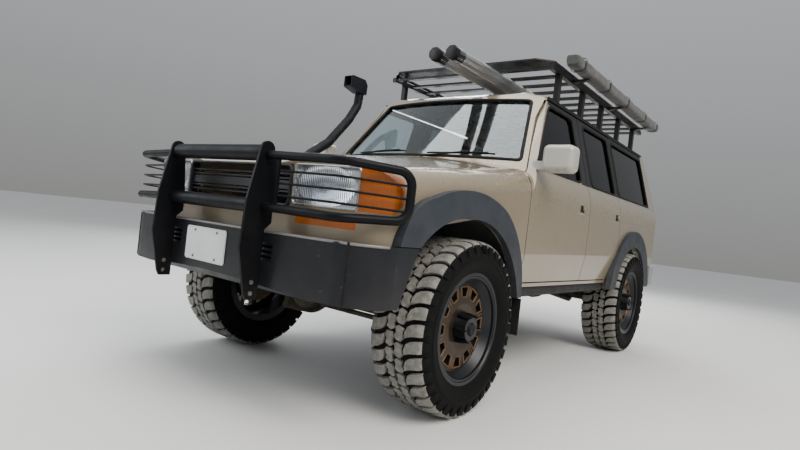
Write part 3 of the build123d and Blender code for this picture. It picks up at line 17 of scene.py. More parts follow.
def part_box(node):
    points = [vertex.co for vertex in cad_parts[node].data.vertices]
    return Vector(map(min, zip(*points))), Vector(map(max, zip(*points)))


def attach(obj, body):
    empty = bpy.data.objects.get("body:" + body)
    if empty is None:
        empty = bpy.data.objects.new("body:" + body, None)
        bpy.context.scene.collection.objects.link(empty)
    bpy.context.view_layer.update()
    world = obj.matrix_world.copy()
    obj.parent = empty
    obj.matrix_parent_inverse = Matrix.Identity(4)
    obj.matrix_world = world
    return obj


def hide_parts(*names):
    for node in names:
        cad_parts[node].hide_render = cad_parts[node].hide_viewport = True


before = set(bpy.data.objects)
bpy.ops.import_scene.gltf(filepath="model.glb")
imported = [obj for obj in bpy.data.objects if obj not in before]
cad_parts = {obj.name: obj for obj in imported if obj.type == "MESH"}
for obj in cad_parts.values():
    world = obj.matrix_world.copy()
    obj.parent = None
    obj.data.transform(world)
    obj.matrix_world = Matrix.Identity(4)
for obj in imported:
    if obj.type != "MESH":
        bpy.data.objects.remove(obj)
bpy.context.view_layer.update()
LOG = logging.getLogger("wagon")

Point = tuple[float, float, float]
Colour = tuple[float, float, float]

FRONT_AXLE_Y = -1.4475
REAR_AXLE_Y = 1.4025
AXLE_Z = 0.444
HALF_TRACK = 0.796
BODY_BOTTOM_Z = 0.629
BELT_RISE, GUTTER_RISE = 0.716, 1.258
BELT_HALF, GUTTER_HALF = 0.860, 0.706

DUST: Colour = (0.30, 0.245, 0.175)
DUST_LEFT_ABOVE = 0.12
MERGE_DISTANCE = 0.00001
STRIP_RESOLUTION = 3
CORNER_STEPS = 5


def behind(distance: float) -> float:
    """Give the Y of a place this far behind the front axle."""
    return FRONT_AXLE_Y + distance


def above(rise: float) -> float:
    """Give the Z of a place this far over the bottom edge of the bodywork."""
    return BODY_BOTTOM_Z + rise


class Side(Enum):
    """The two sides of the vehicle, by the sign of X."""

    LEFT = 1
    RIGHT = -1

    @property
    def tag(self) -> str:
        """Give the side's letter in node and piece names."""
        return "l" if self is Side.LEFT else "r"


class Corner(Enum):
    """The four wheels: side, and Y of the axle."""

    FRONT_LEFT = ("fl", Side.LEFT, FRONT_AXLE_Y)
    FRONT_RIGHT = ("fr", Side.RIGHT, FRONT_AXLE_Y)
    REAR_LEFT = ("rl", Side.LEFT, REAR_AXLE_Y)
    REAR_RIGHT = ("rr", Side.RIGHT, REAR_AXLE_Y)

    @property
    def tag(self) -> str:
        """Give the ending of the corner's node names."""
        return self.value[0]

    def placement(self) -> Matrix:
        """Give the transform from a wheel about the X axis, outer face at +X, to this corner."""
        _, side, axle_y = self.value
        turn = 0.0 if side is Side.LEFT else math.pi
        return Matrix.Translation((side.value * HALF_TRACK, axle_y, AXLE_Z)) @ Matrix.Rotation(turn, 4, "Z")


class Graph:
    """A material's node tree, with short calls for the nodes that the finishes share."""

    def __init__(self, name: str) -> None:
        """Start an empty finish.

        Args:
            name: The material's name.
        """
        self.material = bpy.data.materials.new(name)
        self.material.use_nodes = True
        self.tree = self.material.node_tree
        self.shader = self.tree.nodes["Principled BSDF"]
        self.object = self.add("ShaderNodeTexCoord").outputs["Object"]

    def add(self, kind: str, **settings: object) -> bpy.types.Node:
        """Add a node.

        Args:
            kind: The node's type name.
            settings: Attributes of the node.

        Returns:
            The new node.
        """
        node = self.tree.nodes.new(kind)
        for name, value in settings.items():
            setattr(node, name, value)
        return node

    def feed(self, socket: bpy.types.NodeSocket, value: object) -> None:
        """Link a socket to another, or set its constant.

        Args:
            socket: The input socket.
            value: An output socket, a number or a colour.
        """
        if isinstance(value, bpy.types.NodeSocket):
            self.tree.links.new(value, socket)
        elif isinstance(value, tuple) and len(value) == 3 and socket.type == "RGBA":
            socket.default_value = (*value, 1.0)
        else:
            socket.default_value = value

    def set(self, **values: object) -> None:
        """Set or link the shader's sockets, whose names are given with underscores."""
        for name, value in values.items():
            self.feed(self.shader.inputs[name.replace("_", " ").title().replace("Ior", "IOR")], value)

    def math(self, operation: str, first: object, second: object = 0.0,
             clamp: bool = False) -> bpy.types.NodeSocket:
        """Add a math node and give its value."""
        node = self.add("ShaderNodeMath", operation=operation, use_clamp=clamp)
        self.feed(node.inputs[0], first)
        self.feed(node.inputs[1], second)
        return node.outputs[0]

    def mix(self, factor: object, first: object, second: object) -> bpy.types.NodeSocket:
        """Add a colour mix and give its colour."""
        node = self.add("ShaderNodeMix", data_type="RGBA")
        self.feed(node.inputs[0], factor)
        self.feed(node.inputs[6], first)
        self.feed(node.inputs[7], second)
        return node.outputs[2]

    def axis(self, name: str) -> bpy.types.NodeSocket:
        """Give one object coordinate, in metres."""
        node = self.add("ShaderNodeSeparateXYZ")
        self.feed(node.inputs[0], self.object)
        return node.outputs[name]

    def noise(self, scale: float, detail: float = 4.0, rough: float = 0.55) -> bpy.types.NodeSocket:
        """Add a noise texture on the object coordinates and give its value."""
        node = self.add("ShaderNodeTexNoise")
        self.feed(node.inputs["Vector"], self.object)
        node.inputs["Scale"].default_value = scale
        node.inputs["Detail"].default_value = detail
        node.inputs["Roughness"].default_value = rough
        return node.outputs[0]

    def cells(self, scale: float) -> bpy.types.NodeSocket:
        """Add a cell texture and give the distance to the nearest cell."""
        node = self.add("ShaderNodeTexVoronoi")
        self.feed(node.inputs["Vector"], self.object)
        node.inputs["Scale"].default_value = scale
        return node.outputs["Distance"]

    def waves(self, scale: float, direction: str) -> bpy.types.NodeSocket:
        """Add straight waves along one axis and give their value."""
        node = self.add("ShaderNodeTexWave", bands_direction=direction)
        self.feed(node.inputs["Vector"], self.object)
        node.inputs["Scale"].default_value = scale
        return node.outputs[1]

    def span(self, value: object, low: float, high: float, start: float = 0.0,
             end: float = 1.0) -> bpy.types.NodeSocket:
        """Map a value from one range to another, smoothly and clamped."""
        node = self.add("ShaderNodeMapRange", interpolation_type="SMOOTHSTEP")
        for socket, number in zip(node.inputs, (value, low, high, start, end)):
            self.feed(socket, number)
        return node.outputs[0]

    def bump(self, height: object, distance: float, strength: float = 1.0,
             under: bpy.types.NodeSocket | None = None) -> bpy.types.NodeSocket:
        """Add a bump and give its normal."""
        node = self.add("ShaderNodeBump")
        node.inputs["Strength"].default_value = strength
        node.inputs["Distance"].default_value = distance
        self.feed(node.inputs["Height"], height)
        if under:
            self.feed(node.inputs["Normal"], under)
        return node.outputs[0]

    def unmasked(self, share: bpy.types.NodeSocket, mask: bpy.types.NodeSocket) -> bpy.types.NodeSocket:
        """Give a share only where the mask is 0."""
        return self.math("MULTIPLY", share, self.math("SUBTRACT", 1.0, mask))

    def dust(self, low: float, high: float, most: float) -> bpy.types.NodeSocket:
        """Give how dusty a place is: most at the low height, little at the high one.

        Args:
            low: Height of the dustiest band.
            high: Height where the band ends.
            most: Share of dust at the low height.

        Returns:
            The share of dust.
        """
        band = self.span(self.axis("Z"), low, high, most, most * DUST_LEFT_ABOVE)
        patch = self.span(self.noise(7.0, 8.0, 0.62), 0.30, 0.72, 0.35, 1.25)
        return self.math("MULTIPLY", band, patch, clamp=True)


class Blackout(Enum):
    """Which areas of the body paint are black, besides the wheel arches."""

    WINDOWS = "the band of the side windows"
    UNDERSIDE = "all but the outer faces of the floor pan"


@dataclass(frozen=True)
class Paint:
    """Warm beige body paint under a clear coat, dusty towards the sills.

    Attributes:
        name: The finish's name.
        colour: Base colour.
        flake: Colour of the metal flakes.
        black: Colour of the black areas.
        blackout: Which areas are black, besides the wheel arches.
        bands: Front end, rear end, low edge and high edge of the window band's parts.
        band_half: Distance from the middle where the window band starts.
        arch_half: Distance from the middle where the wheel arches end.
        arch_radius: Radius of the wheel arches.
        pan_half: Distance from the middle where the floor pan's outer faces start.
        pan_rear: Distance of the floor pan's rear face behind the front axle.
    """

    name: str = "beige paint"
    colour: Colour = (0.238, 0.190, 0.124)
    flake: Colour = (0.44, 0.37, 0.27)
    black: Colour = (0.004, 0.004, 0.005)
    blackout: Blackout = Blackout.WINDOWS
    bands: tuple[tuple[float, float, float, float], ...] = (
        (1.512, 3.475, 0.728, 1.262),
        (1.080, 1.520, 1.210, 1.262),
    )
    band_half: float = 0.60
    arch_half: float = 0.861
    arch_radius: float = 0.60
    pan_half: float = 0.845
    pan_rear: float = 3.70

    def build(self) -> bpy.types.Material:
        """Make the material."""
        graph = Graph(self.name)
        flake = graph.span(graph.cells(900.0), 0.0, 0.6, 0.0, 0.10)
        cloudy = graph.span(graph.noise(1.6, 3.0), 0.35, 0.7, 0.0, 0.16)
        tone = graph.mix(cloudy, self.colour, tuple(0.86 * part for part in self.colour))
        tone = graph.mix(flake, tone, self.flake)
        dust = graph.dust(0.60, 1.20, 0.40)
        tone = graph.mix(dust, tone, DUST)
        rough = graph.math("ADD", graph.math("MULTIPLY", dust, 0.45), 0.26, clamp=True)
        windows = self.blackout is Blackout.WINDOWS
        inside = self.window_band(graph) if windows else self.under_body(graph)
        inside = graph.math("MAXIMUM", inside, self.wheel_arches(graph))
        tone = graph.mix(inside, tone, self.black)
        bare = graph.math("SUBTRACT", 1.0, inside)
        rough = graph.math("ADD", rough, graph.math("MULTIPLY", inside, 0.25))
        graph.set(base_color=tone, roughness=rough, metallic=graph.math("MULTIPLY", bare, 0.30))
        graph.set(coat_weight=graph.math("MULTIPLY", bare, 0.80), coat_roughness=0.05)
        return graph.material

    def window_band(self, graph: Graph) -> bpy.types.NodeSocket:
        """Give 1 on the band of the side windows up to the gutter, and 0 elsewhere.

        Args:
            graph: The material's graph.

        Returns:
            The mask.
        """
        whole: object = 0.0
        for front, rear, low, high in self.bands:
            mask = graph.math("GREATER_THAN", graph.math("ABSOLUTE", graph.axis("X")), self.band_half)
            for name, start, end in (("Y", behind(front), behind(rear)), ("Z", above(low), above(high))):
                place = graph.axis(name)
                mask = graph.math("MULTIPLY", mask, graph.math("GREATER_THAN", place, start))
                mask = graph.math("MULTIPLY", mask, graph.math("LESS_THAN", place, end))
            whole = graph.math("MAXIMUM", whole, mask)
        return whole

    def wheel_arches(self, graph: Graph) -> bpy.types.NodeSocket:
        """Give 1 inside the wheel arches, and 0 elsewhere.

        Args:
            graph: The material's graph.

        Returns:
            The mask.
        """
        inner = graph.math("LESS_THAN", graph.math("ABSOLUTE", graph.axis("X")), self.arch_half)
        up = graph.math("SUBTRACT", graph.axis("Z"), AXLE_Z)
        near: object = 0.0
        for axle_y in (FRONT_AXLE_Y, REAR_AXLE_Y):
            along = graph.math("SUBTRACT", graph.axis("Y"), axle_y)
            square = graph.math("ADD", graph.math("MULTIPLY", along, along), graph.math("MULTIPLY", up, up))
            near = graph.math("MAXIMUM", near, graph.math("LESS_THAN", square, self.arch_radius ** 2))
        return graph.math("MULTIPLY", inner, near)

    def under_body(self, graph: Graph) -> bpy.types.NodeSocket:
        """Give 1 on what lies within the outer faces of the floor pan, and 0 on them.

        Args:
            graph: The material's graph.

        Returns:
            The mask.
        """
        inner = graph.math("LESS_THAN", graph.math("ABSOLUTE", graph.axis("X")), self.pan_half)
        before = graph.math("LESS_THAN", graph.axis("Y"), behind(self.pan_rear))
        return graph.math("MULTIPLY", inner, before)


@dataclass(frozen=True)
class Coated:
    """A coated, moulded or cast surface: colour, grain and dust.

    Attributes:
        name: The finish's name.
        colour: Base colour.
        roughness: Roughness where it is clean.
        metallic: How metallic it is.
        grain: Scale of the fine grain.
        depth: Depth of the grain, in metres.
        dust: Share of dust near the floor.
        dust_top: Height where the dust ends.
        worn: Colour of the worn spots, or None.
        coat: Weight of a clear coat.
        shine: Strength of its mirror light.
    """

    name: str
    colour: Colour
    roughness: float = 0.5
    metallic: float = 0.0
    grain: float = 400.0
    depth: float = 0.0003
    dust: float = 0.35
    dust_top: float = 1.3
    worn: Colour | None = None
    coat: float = 0.0
    shine: float = 0.5

    def build(self) -> bpy.types.Material:
        """Make the material."""
        graph = Graph(self.name)
        cloudy = graph.span(graph.noise(3.5, 5.0), 0.3, 0.7, 0.0, 0.5)
        tone = graph.mix(cloudy, self.colour, tuple(min(1.0, 1.45 * part + 0.004) for part in self.colour))
        if self.worn:
            spots = graph.span(graph.noise(28.0, 6.0, 0.7), 0.63, 0.70)
            tone = graph.mix(spots, tone, self.worn)
        dust = graph.dust(0.25, self.dust_top, self.dust)
        tone = graph.mix(dust, tone, DUST)
        spread = graph.span(graph.noise(11.0, 4.0), 0.3, 0.7, -0.06, 0.08)
        rough = graph.math("ADD", graph.math("ADD", graph.math("MULTIPLY", dust, 0.35), spread),
                           self.roughness, clamp=True)
        graph.set(base_color=tone, roughness=rough, metallic=self.metallic,
                  normal=graph.bump(graph.noise(self.grain, 3.0), self.depth, 0.6))
        graph.set(coat_weight=self.coat, coat_roughness=0.12, specular_ior_level=self.shine)
        return graph.material


@dataclass(frozen=True)
class RimFinish:
    """Satin bronze wheel face inside a black lip, about one axle.

    Attributes:
        name: The finish's name.
        axle_y: Y of the axle.
        lip: Radius where the face turns black.
        hub: Radius of the black hub.
        deep: Darker bronze.
        pale: Lighter bronze.
        black: Colour of the lip and the hub.
        metallic: How metallic the bronze is.
    """

    name: str
    axle_y: float
    lip: float = 0.222
    hub: float = 0.078
    deep: Colour = (0.040, 0.028, 0.019)
    pale: Colour = (0.070, 0.046, 0.029)
    black: Colour = (0.006, 0.007, 0.009)
    metallic: float = 0.7

    def build(self) -> bpy.types.Material:
        """Make the material."""
        graph = Graph(self.name)
        place = graph.add("ShaderNodeVectorMath", operation="SUBTRACT")
        graph.feed(place.inputs[0], graph.object)
        place.inputs[1].default_value = (0.0, self.axle_y, AXLE_Z)
        flat = graph.add("ShaderNodeVectorMath", operation="MULTIPLY")
        graph.feed(flat.inputs[0], place.outputs[0])
        flat.inputs[1].default_value = (0.0, 1.0, 1.0)
        reach = graph.add("ShaderNodeVectorMath", operation="LENGTH")
        graph.feed(reach.inputs[0], flat.outputs[0])
        dark = graph.math("GREATER_THAN", reach.outputs["Value"], self.lip)
        grain = graph.span(graph.noise(90.0, 3.0), 0.3, 0.7, 0.0, 0.35)
        tone = graph.mix(grain, self.deep, self.pale)
        black = graph.math("MAXIMUM", dark, graph.math("LESS_THAN", reach.outputs["Value"], self.hub))
        dust = graph.dust(0.1, 0.95, 0.08)
        tone = graph.mix(graph.unmasked(dust, black), tone, DUST)
        tone = graph.mix(black, tone, self.black)
        rough = graph.math("ADD", graph.math("MULTIPLY", dust, 0.4), 0.36, clamp=True)
        metal = graph.math("SUBTRACT", self.metallic, graph.math("MULTIPLY", black, self.metallic))
        graph.set(base_color=tone, roughness=rough, metallic=metal,
                  normal=graph.bump(graph.noise(500.0, 2.0), 0.0002, 0.4))
        graph.set(specular_ior_level=0.35)
        return graph.material


@dataclass(frozen=True)
class Lens:
    """A fluted lamp lens with what lies behind it.

    Attributes:
        name: The finish's name.
        colour: Colour of the lit reflector seen through the lens.
        shade: Colour between the bright patches.
        metallic: How much of a mirror lies behind.
        flutes: Scale of the upright flutes.
        bowl: Distance from the middle, height, half width and half height of the reflector's bowl.
    """

    name: str
    colour: Colour
    shade: Colour
    metallic: float
    flutes: float = 30.0
    bowl: tuple[float, float, float, float] = (0.592, BODY_BOTTOM_Z + 0.421, 0.165, 0.085)

    def build(self) -> bpy.types.Material:
        """Make the material."""
        graph = Graph(self.name)
        middle, height, half_width, half_height = self.bowl
        offset = graph.math("SUBTRACT", graph.math("ABSOLUTE", graph.axis("X")), middle)
        across = graph.math("DIVIDE", offset, half_width)
        up = graph.math("DIVIDE", graph.math("SUBTRACT", graph.axis("Z"), height), half_height)
        reach = graph.math("ADD", graph.math("MULTIPLY", across, across), graph.math("MULTIPLY", up, up))
        hollow = graph.span(reach, 0.0, 1.1)
        flutes = graph.waves(self.flutes, "X")
        tone = graph.mix(hollow, self.shade, self.colour)
        tone = graph.mix(graph.span(flutes, 0.3, 0.9, 0.0, 0.30), tone, self.colour)
        normal = graph.bump(hollow, 0.03, 0.6)
        normal = graph.bump(flutes, 0.0012, 0.45, normal)
        graph.set(base_color=tone, roughness=0.14, metallic=self.metallic, normal=normal)
        graph.set(coat_weight=1.0, coat_roughness=0.02)
        return graph.material


@dataclass(frozen=True)
class Glass:
    """Window glass, clear or tinted, with a film of dust.

    Attributes:
        name: The finish's name.
        colour: Tint.
        mirror: Index of refraction, which sets how brightly it mirrors what is round it.
    """

    name: str
    colour: Colour
    mirror: float = 1.5

    def build(self) -> bpy.types.Material:
        """Make the material."""
        graph = Graph(self.name)
        smear = graph.span(graph.noise(6.0, 6.0, 0.65), 0.45, 0.75, 0.0, 0.10)
        hazy = tuple(min(1.0, 1.25 * part + 0.02) for part in self.colour)
        graph.set(base_color=graph.mix(smear, self.colour, hazy),
                  roughness=graph.math("ADD", graph.math("MULTIPLY", smear, 0.6), 0.01), metallic=0.0)
        graph.set(transmission_weight=1.0, ior=self.mirror)
        return graph.material


@dataclass(frozen=True)
class Cloth:
    """Woven or coated cloth.

    Attributes:
        name: The finish's name.
        colour: Base colour.
        worn: Colour where it is faded.
        weave: Scale of the threads.
        roughness: Roughness of the cloth.
        dust: Share of dust on it.
    """

    name: str
    colour: Colour
    worn: Colour
    weave: float = 420.0
    roughness: float = 0.82
    dust: float = 0.0

    def build(self) -> bpy.types.Material:
        """Make the material."""
        graph = Graph(self.name)
        threads = graph.math("MULTIPLY", graph.waves(self.weave, "Y"), graph.waves(self.weave, "Z"))
        faded = graph.span(graph.noise(8.0, 6.0, 0.6), 0.35, 0.7)
        tone = graph.mix(faded, self.colour, self.worn)
        tone = graph.mix(graph.span(graph.noise(14.0, 5.0), 0.5, 0.8, 0.0, self.dust), tone, DUST)
        normal = graph.bump(graph.noise(24.0, 5.0), 0.004, 0.45)
        graph.set(base_color=tone, roughness=self.roughness, metallic=0.0,
                  normal=graph.bump(threads, 0.0006, 0.4, normal))
        graph.set(sheen_weight=0.25, sheen_roughness=0.5)
        return graph.material


@dataclass(frozen=True)
class TyreFinish:
    """Tyre rubber: dark in the grooves and on the walls, dusty on the lugs.

    Attributes:
        name: The finish's name.
        colour: Colour of the rubber.
        dusty: Colour of the dusty rubber.
        share: How much of it is dusty.
        shine: Strength of its mirror light.
    """

    name: str
    colour: Colour
    dusty: Colour
    share: float
    shine: float = 0.5

    def build(self) -> bpy.types.Material:
        """Make the material."""
        graph = Graph(self.name)
        patch = graph.span(graph.noise(34.0, 7.0, 0.66), 0.34, 0.70, self.share * 0.25, self.share)
        tone = graph.mix(patch, self.colour, self.dusty)
        rough = graph.math("ADD", graph.math("MULTIPLY", patch, 0.25), 0.62, clamp=True)
        normal = graph.bump(graph.noise(260.0, 4.0), 0.0008, 0.5)
        graph.set(base_color=tone, roughness=rough, metallic=0.0, normal=normal)
        graph.set(specular_ior_level=self.shine)
        return graph.material


class Finish(Enum):
    """Every finish of the vehicle.

    A coated finish gives its name, colour, roughness, metallic, grain, depth, dust, dust_top, worn and coat.
    """

    PAINT = Paint()
    MIRROR = Coated("cream mirror shell", (0.33, 0.315, 0.275), 0.32, 0.0, 300.0, 0.0001, 0.20, 1.0,
                    coat=0.5)
    PAN = Paint("floor pan paint", blackout=Blackout.UNDERSIDE)
    STEEL_BLACK = Coated("black coated steel", (0.003, 0.0035, 0.005), 0.40, 0.0, 520.0, 0.0004, 0.02, 1.1,
                         shine=0.11)
    BUMPER = Coated("dark coated bumper", (0.006, 0.007, 0.010), 0.40, 0.0, 620.0, 0.0005, 0.04, 0.95,
                    (0.030, 0.032, 0.036), 0.10, 0.22)
    # Painted highlight: a light grey strip on the front bumper's top edge, broken by dark spots.
    HIGHLIGHT_EDGE = Coated("painted highlight edge", (0.17, 0.16, 0.15), 0.40, 0.4, 300.0, 0.0003, 0.10, 1.0,
                       (0.04, 0.04, 0.04))
    BUMPER_REAR = Coated("bright coated bumper", (0.30, 0.31, 0.32), 0.38, 0.3, 620.0, 0.0004, 0.25, 1.0,
                         (0.12, 0.12, 0.12), 0.1)
    SILL = Coated("black sill moulding", (0.005, 0.005, 0.006), 0.5, 0.0, 500.0, 0.0004, 0.06, 0.9,
                  shine=0.25)
    # Raised rims and ribs of the wheel face: partly their own copper colour, partly painted highlight on
    # their edges, lighter than the bronze face.
    COPPER = Coated("copper rib with painted highlight", (0.135, 0.080, 0.045), 0.42, 0.6, 260.0, 0.0003, 0.10, 0.9)
    RACK = Coated("black rack tube", (0.004, 0.004, 0.005), 0.38, 0.0, 520.0, 0.0003, 0.05, 2.4,
                  coat=0.05, shine=0.22)
    TRIM = Coated("weathered black moulding", (0.018, 0.023, 0.031), 0.52, 0.0, 700.0, 0.0005, 0.10, 1.25,
                  (0.034, 0.040, 0.048), shine=0.25)
    SNORKEL = Coated("black snorkel moulding", (0.005, 0.006, 0.009), 0.48, 0.0, 700.0, 0.0005, 0.05, 1.25,
                     shine=0.13)
    SEAL = Coated("window rubber", (0.004, 0.004, 0.004), 0.6, 0.0, 500.0, 0.0002, 0.05, 1.2, shine=0.2)
    RUBBER = Coated("flap rubber", (0.008, 0.008, 0.008), 0.7, 0.0, 260.0, 0.0006, 0.03, 0.9, shine=0.25)
    GRILLE = Coated("dark grille", (0.012, 0.013, 0.016), 0.4, 0.0, 300.0, 0.0001, 0.08, 1.4, shine=0.3)
    BRIGHT = Coated("bright trim", (0.40, 0.39, 0.37), 0.26, 0.85, 500.0, 0.0001, 0.10, 1.2)
    CHASSIS = Coated("chassis coating", (0.007, 0.007, 0.008), 0.6, 0.0, 240.0, 0.0008, 0.25, 0.9, shine=0.25)
    CAST = Coated("cast housing", (0.020, 0.019, 0.018), 0.62, 0.3, 140.0, 0.0012, 0.30, 0.9, shine=0.3)
    PLAIN_STEEL = Coated("dull steel", (0.16, 0.15, 0.14), 0.45, 0.8, 120.0, 0.0004, 0.45, 0.9,
                         (0.16, 0.09, 0.05))
    ALUMINIUM = Coated("ribbed aluminium", (0.40, 0.41, 0.43), 0.34, 0.9, 420.0, 0.0001, 0.05, 2.4)
    PLATE = Coated("blank plate", (0.62, 0.64, 0.63), 0.38, 0.0, 300.0, 0.0001, 0.12, 1.0)
    HEADLAMP = Lens("clear fluted lens", (0.86, 0.90, 0.96), (0.40, 0.45, 0.53), 0.88)
    AMBER = Lens("amber lens", (0.38, 0.092, 0.005), (0.20, 0.038, 0.002), 0.1, 40.0)
    RED = Lens("red lens", (0.36, 0.010, 0.008), (0.18, 0.005, 0.004), 0.10, 30.0)
    SCREEN = Glass("clear windscreen", (0.74, 0.82, 0.83), 1.6)
    # The front side glass is tinted near black as a painted dark reflection.
    SIDE = Glass("side window with painted dark reflection", (0.06, 0.068, 0.07), 1.16)
    TINTED = Glass("tinted window", (0.010, 0.013, 0.014), 1.17)
    AWNING = Cloth("awning bag cloth", (0.012, 0.012, 0.012), (0.032, 0.031, 0.028), 300.0, 0.62, 0.14)
    STRAP = Cloth("strap webbing", (0.006, 0.006, 0.006), (0.016, 0.016, 0.016), 600.0)
    SEAT = Cloth("seat cloth", (0.20, 0.17, 0.13), (0.27, 0.23, 0.18), 520.0)
    DASH = Coated("dashboard moulding", (0.045, 0.042, 0.038), 0.6, 0.0, 480.0, 0.0005, 0.1, 1.2)
    CARCASS = TyreFinish("tyre rubber", (0.0035, 0.0035, 0.004), (0.014, 0.013, 0.011), 0.28, 0.09)
    LUG = TyreFinish("dusty lugs", (0.105, 0.102, 0.092), (0.255, 0.247, 0.222), 0.98, 0.30)
    RIM_FRONT = RimFinish("bronze rim front", FRONT_AXLE_Y)
    RIM_REAR = RimFinish("bronze rim rear", REAR_AXLE_Y)

    def material(self) -> bpy.types.Material:
        """Give the finish's material, made once."""
        found = bpy.data.materials.get(self.value.name)
        return found or self.value.build()


def to_data(mesh: bmesh.types.BMesh, name: str, finishes: Sequence[Finish], smooth: float) -> bpy.types.Mesh:
    """Turn a finished bmesh into mesh data with its finishes.

    Args:
        mesh: The bmesh. It is freed.
        name: The mesh's name.
        finishes: Finishes, in the order of the faces' material indices.
        smooth: Largest angle between faces that shade as one, in degrees.

    Returns:
        The mesh data.
    """
    data = bpy.data.meshes.new(name)
    mesh.to_mesh(data)
    mesh.free()
    for finish in finishes:
        data.materials.append(finish.material())
    data.shade_smooth()
    data.set_sharp_from_angle(angle=math.radians(smooth))
    return data


def to_piece(mesh: bmesh.types.BMesh, name: str, finishes: Sequence[Finish], body: str,
             smooth: float = 35.0) -> bpy.types.Object:
    """Turn a finished bmesh into a piece that rides on a body.

    Args:
        mesh: The bmesh, in the vehicle's frame. It is freed.
        name: The piece's name.
        finishes: Finishes, in the order of the faces' material indices.
        body: The body that the piece rides on.
        smooth: Largest angle between faces that shade as one, in degrees.

    Returns:
        The new object.
    """
    data = to_data(mesh, name, finishes, smooth)
    piece = bpy.data.objects.new(name, data)
    bpy.context.scene.collection.objects.link(piece)
    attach(piece, body)
    LOG.info("%s on %s: %d faces", name, body, len(data.polygons))
    return piece


def once(items: Iterable) -> list:
    """Give each item once, in the order of the first time that it comes."""
    return list(dict.fromkeys(items))


def add_box(mesh: bmesh.types.BMesh, centre: Point, size: Point, bevel: float, index: int = 0) -> None:
    """Add a box with softened edges.

    Args:
        mesh: The bmesh to add to.
        centre: Middle of the box.
        size: Its lengths.
        bevel: Width of its softened edges.
        index: Material index of its faces.
    """
    place = Matrix.Translation(centre) @ Matrix.Diagonal((*size, 1.0))
    verts = bmesh.ops.create_cube(mesh, size=1.0, matrix=place)["verts"]
    for face in once(face for vert in verts for face in vert.link_faces):
        face.material_index = index
    edges = once(edge for vert in verts for edge in vert.link_edges)
    bmesh.ops.bevel(mesh, geom=edges, offset=bevel, affect="EDGES", segments=2, profile=0.5, material=-1)


def add_rod(mesh: bmesh.types.BMesh, start: Point, end: Point, radius: float, sides: int = 16,
            end_radius: float | None = None, index: int = 0) -> None:
    """Add a round rod or cone between two points.

    Args:
        mesh: The bmesh to add to.
        start: Middle of the first end.
        end: Middle of the second end.
        radius: Radius at the first end.
        sides: Number of flat sides.
        end_radius: Radius at the second end, the same where it is None.
        index: Material index of its faces.
    """
    line = Vector(end) - Vector(start)
    turn = line.to_track_quat("Z", "Y").to_matrix().to_4x4()
    place = Matrix.Translation((Vector(start) + Vector(end)) / 2) @ turn
    verts = bmesh.ops.create_cone(mesh, cap_ends=True, segments=sides, radius1=radius,
                                  radius2=radius if end_radius is None else end_radius,
                                  depth=line.length, matrix=place)["verts"]
    for face in once(face for vert in verts for face in vert.link_faces):
        face.material_index = index


def add_turned(mesh: bmesh.types.BMesh, profile: Iterable[tuple[float, float]], sides: int,
               closed: bool = False) -> None:
    """Add a form turned about the X axis, in the first finish.

    Args:
        mesh: The bmesh to add to.
        profile: Pairs of X and radius.
        sides: Number of steps round the axis.
        closed: Whether the last point joins the first.
    """
    verts = [mesh.verts.new((along, 0.0, radius)) for along, radius in profile]
    pairs = list(zip(verts, verts[1:])) + ([(verts[-1], verts[0])] if closed else [])
    edges = [mesh.edges.new(pair) for pair in pairs]
    bmesh.ops.spin(mesh, geom=verts + edges, cent=(0, 0, 0), axis=(1, 0, 0), dvec=(0, 0, 0),
                   angle=math.tau, steps=sides, use_merge=True, use_normal_flip=False, use_duplicate=False)


def tidy(mesh: bmesh.types.BMesh) -> bmesh.types.BMesh:
    """Merge doubles and turn every face outwards."""
    bmesh.ops.remove_doubles(mesh, verts=mesh.verts, dist=MERGE_DISTANCE)
    bmesh.ops.recalc_face_normals(mesh, faces=mesh.faces)
    return mesh


def swept(name: str, points: Sequence[Point], radius: float, finish: Finish, body: str,
          closed: bool = False, bend: float = 0.0) -> None:
    """Make a round strip or seal along a route.

    Args:
        name: The piece's name.
        points: The route's corners.
        radius: Radius of the strip.
        finish: Its finish.
        body: The body that it rides on.
        closed: Whether the route is a loop.
        bend: Distance from a corner at which its arc starts.
    """
    route = rounded_route([Vector(point) for point in points], bend, closed)
    curve = bpy.data.curves.new(name, "CURVE")
    curve.dimensions = "3D"
    curve.bevel_depth = radius
    curve.bevel_resolution = STRIP_RESOLUTION
    curve.use_fill_caps = not closed
    spline = curve.splines.new("POLY")
    spline.points.add(len(route) - 1)
    for target, point in zip(spline.points, route):
        target.co = (*point, 1.0)
    spline.use_cyclic_u = closed
    holder = bpy.data.objects.new(name + "_route", curve)
    data = bpy.data.meshes.new_from_object(holder)
    bpy.data.objects.remove(holder)
    bpy.data.curves.remove(curve)
    mesh = bmesh.new()
    mesh.from_mesh(data)
    bpy.data.meshes.remove(data)
    to_piece(tidy(mesh), name, [finish], body, 60.0)


def rounded_route(points: list[Vector], bend: float, closed: bool) -> list[Vector]:
    """Round the corners of a route.

    Args:
        points: The route's corners.
        bend: Distance from a corner at which its arc starts.
        closed: Whether the route is a loop.

    Returns:
        The points of the rounded route.
    """
    if not bend:
        return points
    count = len(points)
    route: list[Vector] = []
    for place, corner in enumerate(points):
        if not closed and place in (0, count - 1):
            route.append(corner)
            continue
        before, after = points[place - 1], points[(place + 1) % count]
        reach = min(bend, (before - corner).length * 0.49, (after - corner).length * 0.49)
        first = corner + (before - corner).normalized() * reach
        last = corner + (after - corner).normalized() * reach
        for step in range(CORNER_STEPS + 1):
            share = step / CORNER_STEPS
            route.append(first * (1 - share) ** 2 + corner * 2 * share * (1 - share) + last * share ** 2)
    return route


